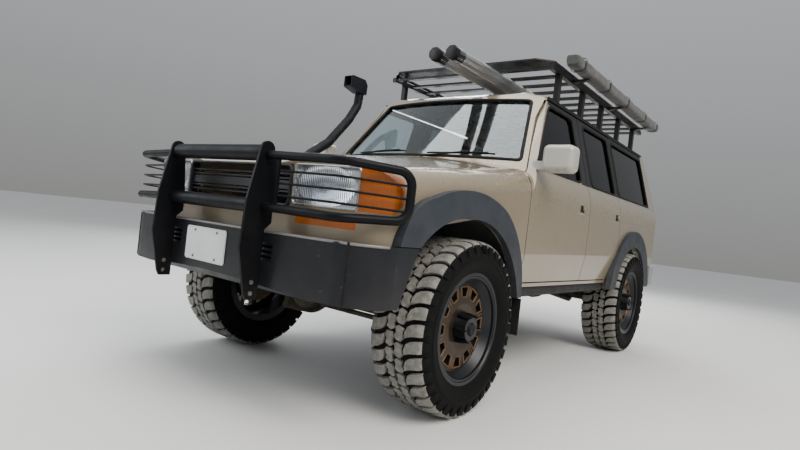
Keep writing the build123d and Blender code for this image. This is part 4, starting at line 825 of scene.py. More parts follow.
def on_side(distance: float, rise: float, side: Side, proud: float) -> Point:
    """Give a point on the sloping side of the cabin, over the belt.

    Args:
        distance: Distance behind the front axle.
        rise: Rise over the bottom edge of the bodywork.
        side: Side of the vehicle.
        proud: How far the point stands out of the surface.

    Returns:
        The point.
    """
    slope = (BELT_HALF - GUTTER_HALF) / (GUTTER_RISE - BELT_RISE)
    across = BELT_HALF - (rise - BELT_RISE) * slope + proud
    return side.value * across, behind(distance), above(rise)


@dataclass
class MudTyre:
    """A mud tyre about the X axis: a carcass with walls and a tread of big lugs.

    Attributes:
        radius: Radius to the tips of the lugs.
        groove: Depth of the tread.
        carcass_sides: Number of steps round the carcass.
        bead: Radius of the bead.
        bead_half: Half of the width at the beads.
        pitch_count: Number of lugs round each shoulder.
        stations: Rows of points across a shoulder lug.
        dusty_rows: Number of the lug's rows that the ground makes dusty.
        wall_start: Distance across from which a lug's walls also lean inwards.
        wall_lean: How far they lean, as a share of their depth.
        centre_outline: Outline of a centre block.
        centre_lead: How far the centre blocks are turned from the lugs, in pitches.
        shading: Largest angle between faces that shade as one, in degrees.
    """

    radius: float = AXLE_Z
    groove: float = 0.0145
    carcass_sides: int = 108
    bead: float = 0.2545
    bead_half: float = 0.1255
    pitch_count: int = 36
    stations: tuple[tuple[float, float, float, float], ...] = (
        # across, drop below the tips, start and end as shares of the pitch
        (0.057, 0.0005, -0.26, 0.10),
        (0.068, 0.0005, -0.19, 0.44),
        (0.090, 0.0010, -0.08, 0.62),
        (0.118, 0.0030, -0.02, 0.71),
        (0.136, 0.0075, 0.00, 0.73),
        (0.147, 0.0180, 0.02, 0.70),
        (0.1545, 0.0430, 0.08, 0.64),
        (0.1565, 0.0600, 0.14, 0.58),
    )
    dusty_rows: int = 5
    wall_start: float = 0.14
    wall_lean: float = 0.45
    centre_outline: tuple[tuple[float, float], ...] = (
        # across, share of the pitch
        (0.014, -0.04), (0.001, 0.16), (0.010, 0.44), (0.004, 0.70), (0.020, 0.84),
        (0.047, 0.66), (0.040, 0.40), (0.052, 0.14), (0.040, -0.10),
    )
    centre_lead: float = 0.40
    shading: float = 32.0

    def crown(self, across: float) -> float:
        """Give the tip radius of a centre block at this distance across."""
        return self.radius - 0.0006 * (across / 0.06) ** 2

    def carcass(self, mesh: bmesh.types.BMesh) -> None:
        """Turn the carcass, with its rim protector and the ribs of its walls."""
        base = self.radius - self.groove
        half = (
            # across, radius
            (self.bead_half, self.bead), (self.bead_half, 0.2765), (0.137, 0.292), (0.1475, 0.310),
            (0.1545, 0.334), (0.1562, 0.350), (0.1580, 0.3515), (0.1580, 0.3560), (0.1560, 0.3575),
            (0.1515, 0.384), (0.1430, 0.407), (0.1270, 0.4235), (0.0980, base - 0.0008),
            (0.05, base), (0.0, base),
        )
        profile = [*half, *((-across, radius) for across, radius in reversed(half[:-1]))]
        add_turned(mesh, profile, self.carcass_sides, closed=True)

    def place(self, across: float, share: float, radius: float) -> Point:
        """Give a point on the tread.

        Args:
            across: Distance across, along the axle.
            share: Place round the tyre, in pitches.
            radius: Distance from the axle.

        Returns:
            The point.
        """
        angle = share * math.tau / self.pitch_count
        return across, radius * math.sin(angle), radius * math.cos(angle)

    def raise_block(self, mesh: bmesh.types.BMesh, tops: list[bmesh.types.BMFace]) -> None:
        """Give the top faces of one lug their walls down to the carcass, and repeat it round the tyre.

        Args:
            mesh: The bmesh.
            tops: The lug's top faces.
        """
        before = set(mesh.faces) - set(tops)
        made = bmesh.ops.extrude_face_region(mesh, geom=tops, use_keep_orig=True)["geom"]
        for vert in (item for item in made if isinstance(item, bmesh.types.BMVert)):
            outward = Vector((0.0, vert.co.y, vert.co.z)).normalized()
            lean = math.copysign(self.wall_lean, vert.co.x) if abs(vert.co.x) > self.wall_start else 0.0
            vert.co -= (outward + Vector((lean, 0.0, 0.0))) * self.groove
        for item in made:
            if isinstance(item, bmesh.types.BMFace):
                item.material_index = 0
        lug = [face for face in mesh.faces if face not in before]
        bmesh.ops.spin(mesh, geom=lug, cent=(0, 0, 0), axis=(1, 0, 0), dvec=(0, 0, 0), angle=math.tau,
                       steps=self.pitch_count, use_merge=False, use_normal_flip=False, use_duplicate=True)

    def shoulder_lug(self, mesh: bmesh.types.BMesh, side: int, lead: float) -> None:
        """Add the shoulder lugs of one side, which run down on to the wall.

        Args:
            mesh: The bmesh.
            side: 1 or -1.
            lead: How far the row is turned, in pitches.
        """
        rows = []
        for across, drop, start, end in self.stations:
            shares = (start, (start + end) / 2, end)
            rows.append([mesh.verts.new(self.place(side * across, lead + side * share, self.radius - drop))
                         for share in shares])
        tops = []
        for row, (inner, outer) in enumerate(zip(rows, rows[1:])):
            for left in range(2):
                face = mesh.faces.new([inner[left], outer[left], outer[left + 1], inner[left + 1]])
                face.material_index = 1 if row < self.dusty_rows else 0
                tops.append(face)
        self.raise_block(mesh, tops)

    def centre_block(self, mesh: bmesh.types.BMesh, side: int, lead: float) -> None:
        """Add one row of centre blocks, with zigzag edges.

        Args:
            mesh: The bmesh.
            side: 1 or -1.
            lead: How far the row is turned, in pitches.
        """
        outline = [mesh.verts.new(self.place(side * across, lead + side * share, self.crown(across)))
                   for across, share in self.centre_outline]
        top = mesh.faces.new(outline[::-1])
        top.material_index = 1
        self.raise_block(mesh, [top])

    def build(self) -> bpy.types.Mesh:
        """Build the tyre.

        Returns:
            Its mesh, with its outer side at +X.
        """
        mesh = bmesh.new()
        for side in (1, -1):
            lead = 0.0 if side > 0 else 0.5
            self.shoulder_lug(mesh, side, lead)
            self.centre_block(mesh, side, lead - side * self.centre_lead)
        bmesh.ops.recalc_face_normals(mesh, faces=mesh.faces)
        self.carcass(mesh)
        bmesh.ops.recalc_face_normals(mesh, faces=mesh.faces)
        return to_data(mesh, "mud_tyre", [Finish.CARCASS, Finish.LUG], self.shading)


def place_copies(data: bpy.types.Mesh, name: str, nodes: Sequence[str] = ()) -> None:
    """Put a wheel's piece on all four wheels.

    Args:
        data: Mesh of the piece, about the X axis, with its outer side at +X.
        name: Start of the pieces' names.
        nodes: Starts of the names of the nodes that each piece replaces.
    """
    for corner in Corner:
        copy = data.copy()
        copy.transform(corner.placement())
        piece = bpy.data.objects.new(f"{name}_{corner.tag}", copy)
        bpy.context.scene.collection.objects.link(piece)
        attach(piece, f"wheel_{corner.tag}")
        for node in nodes:
            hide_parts(f"{node}_{corner.tag}")
    LOG.info("%s on four wheels: %d faces each", name, len(data.polygons))


@dataclass
class WheelTrim:
    """What dresses the wheel: spiked lug nuts, the cap, the windows' raised rims and ribs.

    Attributes:
        face: X of the wheel's face, from the wheel's middle.
        nut_circle: Radius of the circle of nuts.
        nut_count: Number of nuts.
        window_count: Number of windows.
        window_inner: Radius of the windows' inner edges.
        window_outer: Radius of their outer edges.
        web: Width of the web between two windows.
        rim: Radius of a window's raised rim.
        rib_inner: Radius where a rib starts.
        rib_past: How far a rib runs past the windows.
        nut_length: Length of a nut.
        nut_radius: Its radius.
        spike_length: Length of the spike on a nut.
        spike_radii: Radii of the spike's foot and of its tip.
        cap: Outline of the cap, as X and radius.
        cap_sides: Number of steps round the cap.
    """

    face: float = 0.078
    nut_circle: float = 0.0698
    nut_count: int = 6
    window_count: int = 12
    window_inner: float = 0.151
    window_outer: float = 0.205
    web: float = 0.035
    rim: float = 0.0042
    rib_inner: float = 0.085
    rib_past: float = 0.006
    nut_length: float = 0.030
    nut_radius: float = 0.0125
    spike_length: float = 0.048
    spike_radii: tuple[float, float] = (0.0120, 0.003)
    cap: tuple[tuple[float, float], ...] = (
        (0.10, 0.0), (0.146, 0.0), (0.150, 0.016), (0.148, 0.028), (0.138, 0.036), (0.10, 0.038),
    )
    cap_sides: int = 32

    def window_rims(self, mesh: bmesh.types.BMesh) -> None:
        """Raise a rim round each window, and a rib on every second web, in copper lightened by painted
        highlight.

        Args:
            mesh: The bmesh.
        """
        low, high = (math.pi * radius / self.window_count - self.web / 2
                     for radius in (self.window_inner, self.window_outer))
        corners = ((-low, self.window_inner), (low, self.window_inner), (high, self.window_outer),
                   (-high, self.window_outer))
        for step in range(self.window_count):
            turn = Matrix.Rotation(step * math.tau / self.window_count, 3, "X")
            places = [turn @ Vector((self.face, across, up)) for across, up in corners]
            for start, end in zip(places, (*places[1:], places[0])):
                add_rod(mesh, start, end, self.rim, 8, index=1)
            if step % 2:
                spoke = turn @ Matrix.Rotation(math.pi / self.window_count, 3, "X")
                foot = Vector((self.face, 0.0, self.rib_inner))
                tip = Vector((self.face, 0.0, self.window_outer + self.rib_past))
                add_rod(mesh, spoke @ foot, spoke @ tip, self.rim, 8, index=1)

    def build(self) -> None:
        """Build the trim of all four wheels."""
        mesh = bmesh.new()
        for step in range(self.nut_count):
            angle = (step + 0.5) * math.tau / self.nut_count
            across, up = self.nut_circle * math.sin(angle), self.nut_circle * math.cos(angle)
            foot = (self.face, across, up)
            shoulder = (self.face + self.nut_length, across, up)
            tip = (self.face + self.nut_length + self.spike_length, across, up)
            add_rod(mesh, foot, shoulder, self.nut_radius)
            add_rod(mesh, shoulder, tip, self.spike_radii[0], end_radius=self.spike_radii[1])
        add_turned(mesh, self.cap, self.cap_sides)
        self.window_rims(mesh)
        # Index 1, the rims and ribs, is copper lightened by painted highlight on their edges.
        data = to_data(tidy(mesh), "wheel_bolts", [Finish.STEEL_BLACK, Finish.COPPER], 30.0)
        place_copies(data, "wheel_bolts")


@dataclass
class BodyTrim:
    """Seals, wipers, handles, bezels and other trim of the bodywork.

    Attributes:
        window_low: Rise of the side windows' lower edge.
        window_high: Rise of their upper edge.
        seal: Radius of a window's rubber.
        sink: How far the middle of a window's rubber lies behind the surface.
        bend: Size of a window's round corners.
        windows: Name, front edge low and high, rear edge and riding body of each side window.
        screen_corners: Corners of the windscreen, as distance across and rise.
        screen_seal: Radius of the windscreen's rubber.
        screen_proud: How far the middle of that rubber stands before the glass.
        screen_bow: Radius of the windscreen's bow.
        screen_foot: Distance of its foot behind the front axle.
        screen_foot_rise: Rise of its foot.
        screen_lean: How far it leans back for each metre of rise.
        wiper_ends: Name, and distance across of the pivot and of the tip, of each wiper.
        blade_start: How far a wiper's blade starts before the middle of its arm.
        blade_length: Length of the blade.
        blade_slope: Rise of the blade from end to end.
        doors: Letter of each door, and distance of its handle behind the front axle.
        door_half: X of the doors' outer faces at the handles.
        mirror_middle: X and rise of a mirror's middle.
        mirror_size: Lengths of a mirror's glass.
        headlamp: Corners of a headlamp's bezel, as distance across, distance before the axle and rise.
        grille: Half width, low rise, high rise and distance before the axle of the grille's surround.
        gutter: X, front end, rear end and rise of a rain gutter's strip.
    """

    window_low: float = 0.738
    window_high: float = 1.206
    seal: float = 0.0085
    sink: float = 0.001
    bend: float = 0.055
    windows: tuple[tuple[str, float, float, float, str], ...] = (
        ("front", 0.722, 1.092, 1.520, "door_f"),
        ("rear", 1.742, 1.742, 2.340, "door_r"),
        ("cargo", 2.452, 2.452, 3.440, "body"),
    )
    screen_corners: tuple[tuple[float, float], ...] = (
        (-0.752, 0.772), (0.752, 0.772), (0.622, 1.232), (-0.622, 1.232),
    )
    screen_seal: float = 0.011
    screen_proud: float = 0.001
    screen_bow: float = 2.080
    screen_foot: float = 0.560
    screen_foot_rise: float = 0.768
    screen_lean: float = 0.82
    wiper_ends: tuple[tuple[str, float, float], ...] = (("left", 0.10, 0.60), ("right", -0.56, -0.06))
    blade_start: float = 0.22
    blade_length: float = 0.46
    blade_slope: float = 0.012
    doors: tuple[tuple[str, float], ...] = (("f", 1.475), ("r", 2.315))
    door_half: float = 0.8960
    mirror_middle: tuple[float, float] = (1.003, 0.786)
    mirror_size: Point = (0.160, 0.003, 0.128)
    headlamp: tuple[Point, ...] = (
        (0.417, 0.794, 0.508), (0.700, 0.768, 0.508), (0.768, 0.753, 0.508),
        (0.768, 0.753, 0.333), (0.700, 0.768, 0.333), (0.417, 0.794, 0.333),
    )
    grille: tuple[float, float, float, float] = (0.398, 0.323, 0.501, 0.797)
    gutter: tuple[float, float, float, float] = (0.714, 1.09, 3.50, 1.262)

    def seals(self) -> None:
        """Run a rubber round each window."""
        for side in Side:
            for name, low_front, high_front, rear, body in self.windows:
                corners = ((low_front, self.window_low), (high_front, self.window_high),
                           (rear, self.window_high), (rear, self.window_low))
                route = [on_side(distance, rise, side, -self.sink) for distance, rise in corners]
                rides = body if body == "body" else body + side.tag
                swept(f"seal_{name}_{side.tag}", route, self.seal, Finish.SEAL, rides, True, self.bend)

    def screen_point(self, across: float, rise: float, proud: float) -> Point:
        """Give a point on the bowed windscreen.

        Args:
            across: Distance from the middle.
            rise: Rise over the bottom edge of the bodywork.
            proud: How far it stands out forwards.

        Returns:
            The point.
        """
        bow = self.screen_bow - math.sqrt(self.screen_bow ** 2 - across ** 2)
        lean = self.screen_lean * (rise - self.screen_foot_rise)
        return across, behind(self.screen_foot + lean + bow) - proud, above(rise)

    def screen_rubber(self) -> None:
        """Run a rubber round the windscreen, along its bow."""
        route: list[Point] = []
        corners = self.screen_corners
        steps = 8
        for start, end in zip(corners, (*corners[1:], corners[0])):
            for step in range(steps):
                share = step / steps
                across = start[0] + (end[0] - start[0]) * share
                rise = start[1] + (end[1] - start[1]) * share
                route.append(self.screen_point(across, rise, self.screen_proud))
        swept("seal_windscreen", route, self.screen_seal, Finish.SEAL, "body", True, 0.03)

    def wipers(self) -> None:
        """Lay two wipers at the foot of the windscreen."""
        for name, pivot, tip in self.wiper_ends:
            start = self.screen_point(pivot, 0.762, 0.020)
            middle = self.screen_point((pivot + tip) / 2, 0.800, 0.022)
            end = self.screen_point(tip - 0.05, 0.808, 0.018)
            swept(f"wiper_arm_{name}", [start, middle, end], 0.006, Finish.SEAL, "body", False, 0.06)
            blade = []
            for share in (step / 6 for step in range(7)):
                across = middle[0] - self.blade_start + self.blade_length * share
                blade.append(self.screen_point(across, 0.792 + self.blade_slope * share, 0.009))
            swept(f"wiper_blade_{name}", blade, 0.0055, Finish.SEAL, "body")

    def handles(self) -> None:
        """Set a handle in body colour in each side door, over a black plate that is painted shade in its
        recess.
        """
        boxes = (
            # way out of the door, way back, rise, lengths, softened edge
            (0.0, 0.0, 0.548, (0.014, 0.130, 0.085), 0.006),
            (0.0065, -0.014, 0.546, (0.004, 0.074, 0.050), 0.0015),
            (0.010, 0.026, 0.554, (0.012, 0.062, 0.026), 0.005),
        )
        for side in Side:
            for end, distance in self.doors:
                mesh = bmesh.new()
                for index, (out, back, rise, size, soft) in enumerate(boxes):
                    across = side.value * (self.door_half + out)
                    add_box(mesh, (across, behind(distance + back), above(rise)), size, soft, index)
                door = end + side.tag
                # The second box, in window rubber, is a black plate that paints the shade in the handle's
                # recess.
                finishes = [Finish.PAINT, Finish.SEAL, Finish.PAINT]
                to_piece(tidy(mesh), f"handle_{door}", finishes, f"door_{door}")

    def mirrors(self) -> None:
        """Set the glass into the back of each mirror."""
        across, rise = self.mirror_middle
        for side in Side:
            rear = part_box(f"mirror_{side.tag}")[1].y
            mesh = bmesh.new()
            add_box(mesh, (side.value * across, rear - 0.0005, above(rise)), self.mirror_size, 0.001)
            to_piece(tidy(mesh), f"mirror_glass_{side.tag}", [Finish.BRIGHT], f"door_f{side.tag}")

    def bezels(self) -> None:
        """Run bright bezels round the headlamps and a dark one round the grille."""
        for side in Side:
            route = [(side.value * across, behind(-place), above(rise))
                     for across, place, rise in self.headlamp]
            swept(f"headlamp_bezel_{side.tag}", route, 0.0045, Finish.BRIGHT, "body", True, 0.02)
        half, low, high, place = self.grille
        route = [(across, behind(-place), above(rise))
                 for across, rise in ((-half, high), (half, high), (half, low), (-half, low))]
        swept("grille_surround", route, 0.006, Finish.GRILLE, "body", True, 0.03)

    def gutters(self) -> None:
        """Cover the rain gutters with dark strips."""
        half, front, rear, rise = self.gutter
        for side in Side:
            route = [(side.value * half, behind(end), above(rise)) for end in (front, rear)]
            swept(f"gutter_strip_{side.tag}", route, 0.0075, Finish.SEAL, "body")

    def build(self) -> None:
        """Build all the trim."""
        self.seals()
        self.screen_rubber()
        self.wipers()
        self.handles()
        self.mirrors()
        self.bezels()
        self.gutters()


@dataclass
class FrontEnd:
    """Bumper trim, guard bolts and the blank plate.

    Attributes:
        face: Distance of the bumper's face before the front axle.
        straight: Half of the width of its bowed face.
        bow: Depth of the bow.
        corner: Radius of its round corners.
        edge_rise: Rise of the painted highlight strip along the top edge.
        edge_radius: Radius of the painted highlight strip.
        edge_sink: How far the middle of the painted highlight strip lies behind the face.
        edge_steps: Number of steps along each stretch of it.
        stretches: Name and X of both ends of each stretch of it.
        seam: X of the seam of an end cap.
        seam_rises: Rises of the seam's ends.
        seam_radius: Radius of the seam.
        seam_sink: How far the middle of the seam lies behind the face.
        plate_edge: Distance of the plate's rim from its edges.
        plate_rim: Radius of the plate's rim.
        bolt_across: Distance of the plate's bolts from its middle.
        bolt_edge: Distance of the plate's bolts from its upper and lower edges.
        guard_bolt: X, distance before the axle, length and radius of a guard bolt.
        guard_bolt_heights: Heights of the guard's bolts over the floor.
    """

    face: float = 0.893
    straight: float = 0.736
    bow: float = 0.046
    corner: float = 0.190
    edge_rise: float = 0.1985
    edge_radius: float = 0.0065
    edge_sink: float = 0.004
    edge_steps: int = 20
    stretches: tuple[tuple[str, float, float], ...] = (
        ("middle", -0.810, 0.810), ("left", 0.820, 0.920), ("right", -0.820, -0.920),
    )
    seam: float = 0.815
    seam_rises: tuple[float, float] = (0.192, -0.048)
    seam_radius: float = 0.0028
    seam_sink: float = 0.001
    plate_edge: float = 0.006
    plate_rim: float = 0.003
    bolt_across: float = 0.09
    bolt_edge: float = 0.018
    guard_bolt: tuple[float, float, float, float] = (0.352, 0.924, 0.018, 0.0105)
    guard_bolt_heights: tuple[float, float] = (0.557, 0.605)

    def edge(self, across: float) -> float:
        """Give the Y of the bumper's face at this distance across."""
        reach = abs(across)
        if reach < self.straight:
            return behind(-self.face + self.bow * (reach / self.straight) ** 2)
        round_off = self.corner - math.sqrt(max(0.0, self.corner ** 2 - (reach - self.straight) ** 2))
        return behind(-self.face + self.bow + round_off)

    def strip(self) -> None:
        """Run the painted highlight strip along the bumper's top edge, and seam its end caps."""
        for name, start, end in self.stretches:
            places = [start + (end - start) * step / self.edge_steps for step in range(self.edge_steps + 1)]
            route = [(across, self.edge(across) + self.edge_sink, above(self.edge_rise)) for across in places]
            # The strip's light grey is a painted highlight on the bumper's top edge.
            swept(f"bumper_edge_{name}", route, self.edge_radius, Finish.HIGHLIGHT_EDGE, "body")
        for side in Side:
            across = side.value * self.seam
            route = [(across, self.edge(across) + self.seam_sink, above(rise)) for rise in self.seam_rises]
            swept(f"bumper_seam_{side.tag}", route, self.seam_radius, Finish.SEAL, "body")

    def plate(self) -> None:
        """Raise the rim of the blank plate and set its bolts."""
        low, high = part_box("licence_plate")
        y = low.y + 0.0005
        left, right = low.x + self.plate_edge, high.x - self.plate_edge
        bottom, top = low.z + self.plate_edge, high.z - self.plate_edge
        route = [(left, y, top), (right, y, top), (right, y, bottom), (left, y, bottom)]
        swept("plate_rim", route, self.plate_rim, Finish.PLATE, "body", True, 0.018)
        mesh = bmesh.new()
        middle = (low.x + high.x) / 2
        for across in (middle - self.bolt_across, middle + self.bolt_across):
            for up in (high.z - self.bolt_edge, low.z + self.bolt_edge):
                add_rod(mesh, (across, y, up), (across, y - 0.004, up), 0.006, 8)
        to_piece(tidy(mesh), "plate_bolts", [Finish.PLAIN_STEEL], "body")

    def guard_bolts(self) -> None:
        """Set bolts in the holes of the guard's plate uprights."""
        face, place, length, radius = self.guard_bolt
        mesh = bmesh.new()
        for side in Side:
            for height in self.guard_bolt_heights:
                add_rod(mesh, (side.value * face, behind(-place), height),
                        (side.value * (face + length), behind(-place), height), radius, 6)
        to_piece(tidy(mesh), "guard_bolts", [Finish.PLAIN_STEEL], "body")

    def build(self) -> None:
        """Build the front end's trim."""
        self.strip()
        self.plate()
        self.guard_bolts()


@dataclass
class RodTubes:
    """Two ribbed tubes with eight-sided caps under the rack.

    Attributes:
        radius: Radius over the ribs.
        spacing: Distance between the tubes' middles.
        middle: X of the pair's middle.
        ribs: Number of ribs round a tube.
        rib: Depth of a rib.
        cap: Length of a cap.
        cap_over: How far a cap's corners stand over the ribs.
        inset: Distance of a tube's end inside its cap.
    """

    radius: float = 0.0455
    spacing: float = 0.133
    middle: float = 0.216
    ribs: int = 26
    rib: float = 0.0035
    cap: float = 0.118
    cap_over: float = 0.0022
    inset: float = 0.04

    def build(self) -> None:
        """Build both tubes with their caps."""
        low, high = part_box("rod_tubes")
        height = (low.z + high.z) / 2
        mesh = bmesh.new()
        for side in (1, -1):
            across = self.middle + side * self.spacing / 2
            upright = Matrix.Rotation(math.pi / 2, 4, "X")
            start = Matrix.Translation((across, low.y + self.inset, height))
            circle = bmesh.ops.create_circle(mesh, cap_ends=False, segments=self.ribs * 4, radius=self.radius,
                                             matrix=start @ upright)["verts"]
            for place, vert in enumerate(circle):
                if place % 4 in (0, 3):
                    offset = Vector((vert.co.x - across, 0, vert.co.z - height))
                    vert.co -= offset.normalized() * self.rib
            edges = once(edge for vert in circle for edge in vert.link_edges)
            made = bmesh.ops.extrude_edge_only(mesh, edges=edges)["geom"]
            for vert in (item for item in made if isinstance(item, bmesh.types.BMVert)):
                vert.co.y = high.y - self.inset
            for end in (low.y, high.y - self.cap):
                place = Matrix.Translation((across, end + self.cap / 2, height))
                self.end_cap(mesh, place @ upright @ Matrix.Rotation(math.pi / 8, 4, "Z"))
        piece = to_piece(tidy(mesh), "ribbed_tubes", [Finish.ALUMINIUM, Finish.RACK], "body", 25.0)
        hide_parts("rod_tubes")

    def end_cap(self, mesh: bmesh.types.BMesh, place: Matrix) -> None:
        """Add one eight-sided cap with softened edges.

        It is softened in a bmesh of its own, because in a shared one its corners vary from run to run.

        Args:
            mesh: The bmesh to add to.
            place: The cap's place, with its axis along Z.
        """
        radius = self.radius + self.cap_over
        cap = bmesh.new()
        bmesh.ops.create_cone(cap, cap_ends=True, segments=8, radius1=radius, radius2=radius,
                              depth=self.cap, matrix=place)
        bmesh.ops.bevel(cap, geom=cap.edges[:], offset=0.005, affect="EDGES", segments=2, profile=0.5,
                        material=-1)
        for face in cap.faces:
            face.material_index = 1
        data = bpy.data.meshes.new("end_cap")
        cap.to_mesh(data)
        cap.free()
        mesh.from_mesh(data)
        bpy.data.meshes.remove(data)


@dataclass
class AwningBag:
    """The rolled awning in its cloth bag, with straps.

    Attributes:
        around: Number of points round the bag.
        along: Number of sections along it.
        square: Power of its rounded square section.
        inset: How much narrower than its room the bag is.
        wrinkle: Depth of its folds.
        folds: Scales of the broad folds, round the bag and along it.
        creases: Scales of the fine creases, round the bag and along it.
        pull: How far a strap pulls the bag in.
        pull_reach: Distance along the bag over which a strap's pull fades.
        gather: How far its ends draw in.
        gather_reach: Distance along the bag over which an end's draw fades.
        deepest: Largest move inwards.
        straps: Places of the straps, as shares of the length.
        strap_inset: How much narrower than the room a strap is.
        strap_width: Width of a strap.
        strap_thickness: Thickness of a strap.
    """

    around: int = 28
    along: int = 90
    square: float = 3.4
    inset: float = 0.010
    wrinkle: float = 0.007
    folds: tuple[float, float] = (14.0, 5.5)
    creases: tuple[float, float] = (30.0, 16.0)
    pull: float = 0.004
    pull_reach: float = 0.05
    gather: float = 0.014
    gather_reach: float = 0.025
    deepest: float = 0.022
    straps: tuple[float, ...] = (0.06, 0.30, 0.52, 0.76, 0.95)
    strap_inset: float = 0.006
    strap_width: float = 0.024
    strap_thickness: float = 0.0025

    def section(self, mesh: bmesh.types.BMesh, low: Vector, high: Vector, y: float, inset: float, points: int,
                filled: bool) -> list[bmesh.types.BMVert]:
        """Add the bag's rounded square section.

        Args:
            mesh: The bmesh.
            low: Lower corner of the bag's room.
            high: Upper corner of the bag's room.
            y: Place of the section.
            inset: How much narrower than the room it is.
            points: Number of points round it.
            filled: Whether a face fills it.

        Returns:
            Its vertices.
        """
        middle, size = (low + high) / 2, high - low
        turn = Matrix.Translation((middle.x, y, middle.z)) @ Matrix.Rotation(math.pi / 2, 4, "X")
        ring = bmesh.ops.create_circle(mesh, cap_ends=filled, segments=points, radius=0.5,
                                       matrix=turn)["verts"]
        for vert in ring:
            across, up = vert.co.x - middle.x, vert.co.z - middle.z
            reach = (abs(2 * across) ** self.square + abs(2 * up) ** self.square) ** (-1 / self.square)
            vert.co.x = middle.x + across * reach * (size.x - inset)
            vert.co.z = middle.z + up * reach * (size.z - inset)
        return ring

    def build(self) -> None:
        """Build the bag and its straps."""
        low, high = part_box("awning_bag")
        mesh = bmesh.new()
        self.section(mesh, low, high, low.y, self.inset, self.around, True)
        step = (high.y - low.y) / self.along
        region = mesh.faces[:]
        for _ in range(self.along):
            made = bmesh.ops.extrude_face_region(mesh, geom=region)["geom"]
            region = [item for item in made if isinstance(item, bmesh.types.BMFace)]
            bmesh.ops.translate(mesh, vec=(0, step, 0),
                                verts=[item for item in made if isinstance(item, bmesh.types.BMVert)])
        for vert in mesh.verts:
            self.sag(vert, low, high)
        bag = to_piece(tidy(mesh), "awning_cover", [Finish.AWNING], "body", 60.0)
        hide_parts("awning_bag")
        for number, share in enumerate(self.straps, 1):
            self.strap(f"awning_strap_{number}", low, high, share)

    def sag(self, vert: bmesh.types.BMVert, low: Vector, high: Vector) -> None:
        """Move a point of the bag inwards for its folds, the pull of its straps and its gathered ends.

        Args:
            vert: The point.
            low: Lower corner of the bag's room.
            high: Upper corner of the bag's room.
        """
        middle, length = (low + high) / 2, high.y - low.y
        offset = Vector((vert.co.x - middle.x, 0, vert.co.z - middle.z))
        share = (vert.co.y - low.y) / length
        around, along = self.folds
        fold = noise.noise(Vector((vert.co.x * around, vert.co.y * along, vert.co.z * around)))
        around, along = self.creases
        crease = abs(noise.noise(Vector((vert.co.x * around + 9, vert.co.y * along, vert.co.z * around))))
        pull = max(math.exp(-((share - strap) * length / self.pull_reach) ** 2) for strap in self.straps)
        end = max(math.exp(-share * length / self.gather_reach),
                  math.exp(-(1 - share) * length / self.gather_reach))
        inward = self.wrinkle * (0.5 + 0.5 * fold + 0.8 * crease) + self.pull * pull + self.gather * end
        vert.co -= offset.normalized() * min(inward, self.deepest)

    def strap(self, name: str, low: Vector, high: Vector, share: float) -> None:
        """Run a strap round the bag.

        Args:
            name: The strap's name.
            low: Lower corner of the bag's room.
            high: Upper corner of the bag's room.
            share: Its place, as a share of the bag's length.
        """
        mesh = bmesh.new()
        y = low.y + share * (high.y - low.y) - self.strap_width / 2
        ring = self.section(mesh, low, high, y, self.strap_inset, 32, False)
        edges = once(edge for vert in ring for edge in vert.link_edges)
        made = bmesh.ops.extrude_edge_only(mesh, edges=edges)["geom"]
        bmesh.ops.translate(mesh, vec=(0, self.strap_width, 0),
                            verts=[item for item in made if isinstance(item, bmesh.types.BMVert)])
        tidy(mesh)
        bmesh.ops.solidify(mesh, geom=mesh.faces[:], thickness=self.strap_thickness)
        to_piece(mesh, name, [Finish.STRAP], "body", 40.0)


@dataclass(frozen=True)
class PadForm:
    """Place and form of a pad in a seat.

    Attributes:
        back: Distance of its middle behind the seat's middle.
        rise: Rise of its middle over the cabin floor.
        depth: Its length along the vehicle.
        height: Its height.
        turn: Its turn about X, in radians. A negative one leans it back.
        crown: How much thicker it is in its middle.
        width: Its width, the seat's own where it is None.
    """

    back: float
    rise: float
    depth: float
    height: float
    turn: float
    crown: float
    width: float | None = None


CUSHION = PadForm(0.0, 0.235, 0.50, 0.165, 0.06, 0.20)
BACKREST = PadForm(0.31, 0.545, 0.13, 0.56, -0.20, 0.10)
HEAD_REST = PadForm(0.385, 0.80, 0.085, 0.13, -0.18, 0.15, 0.26)


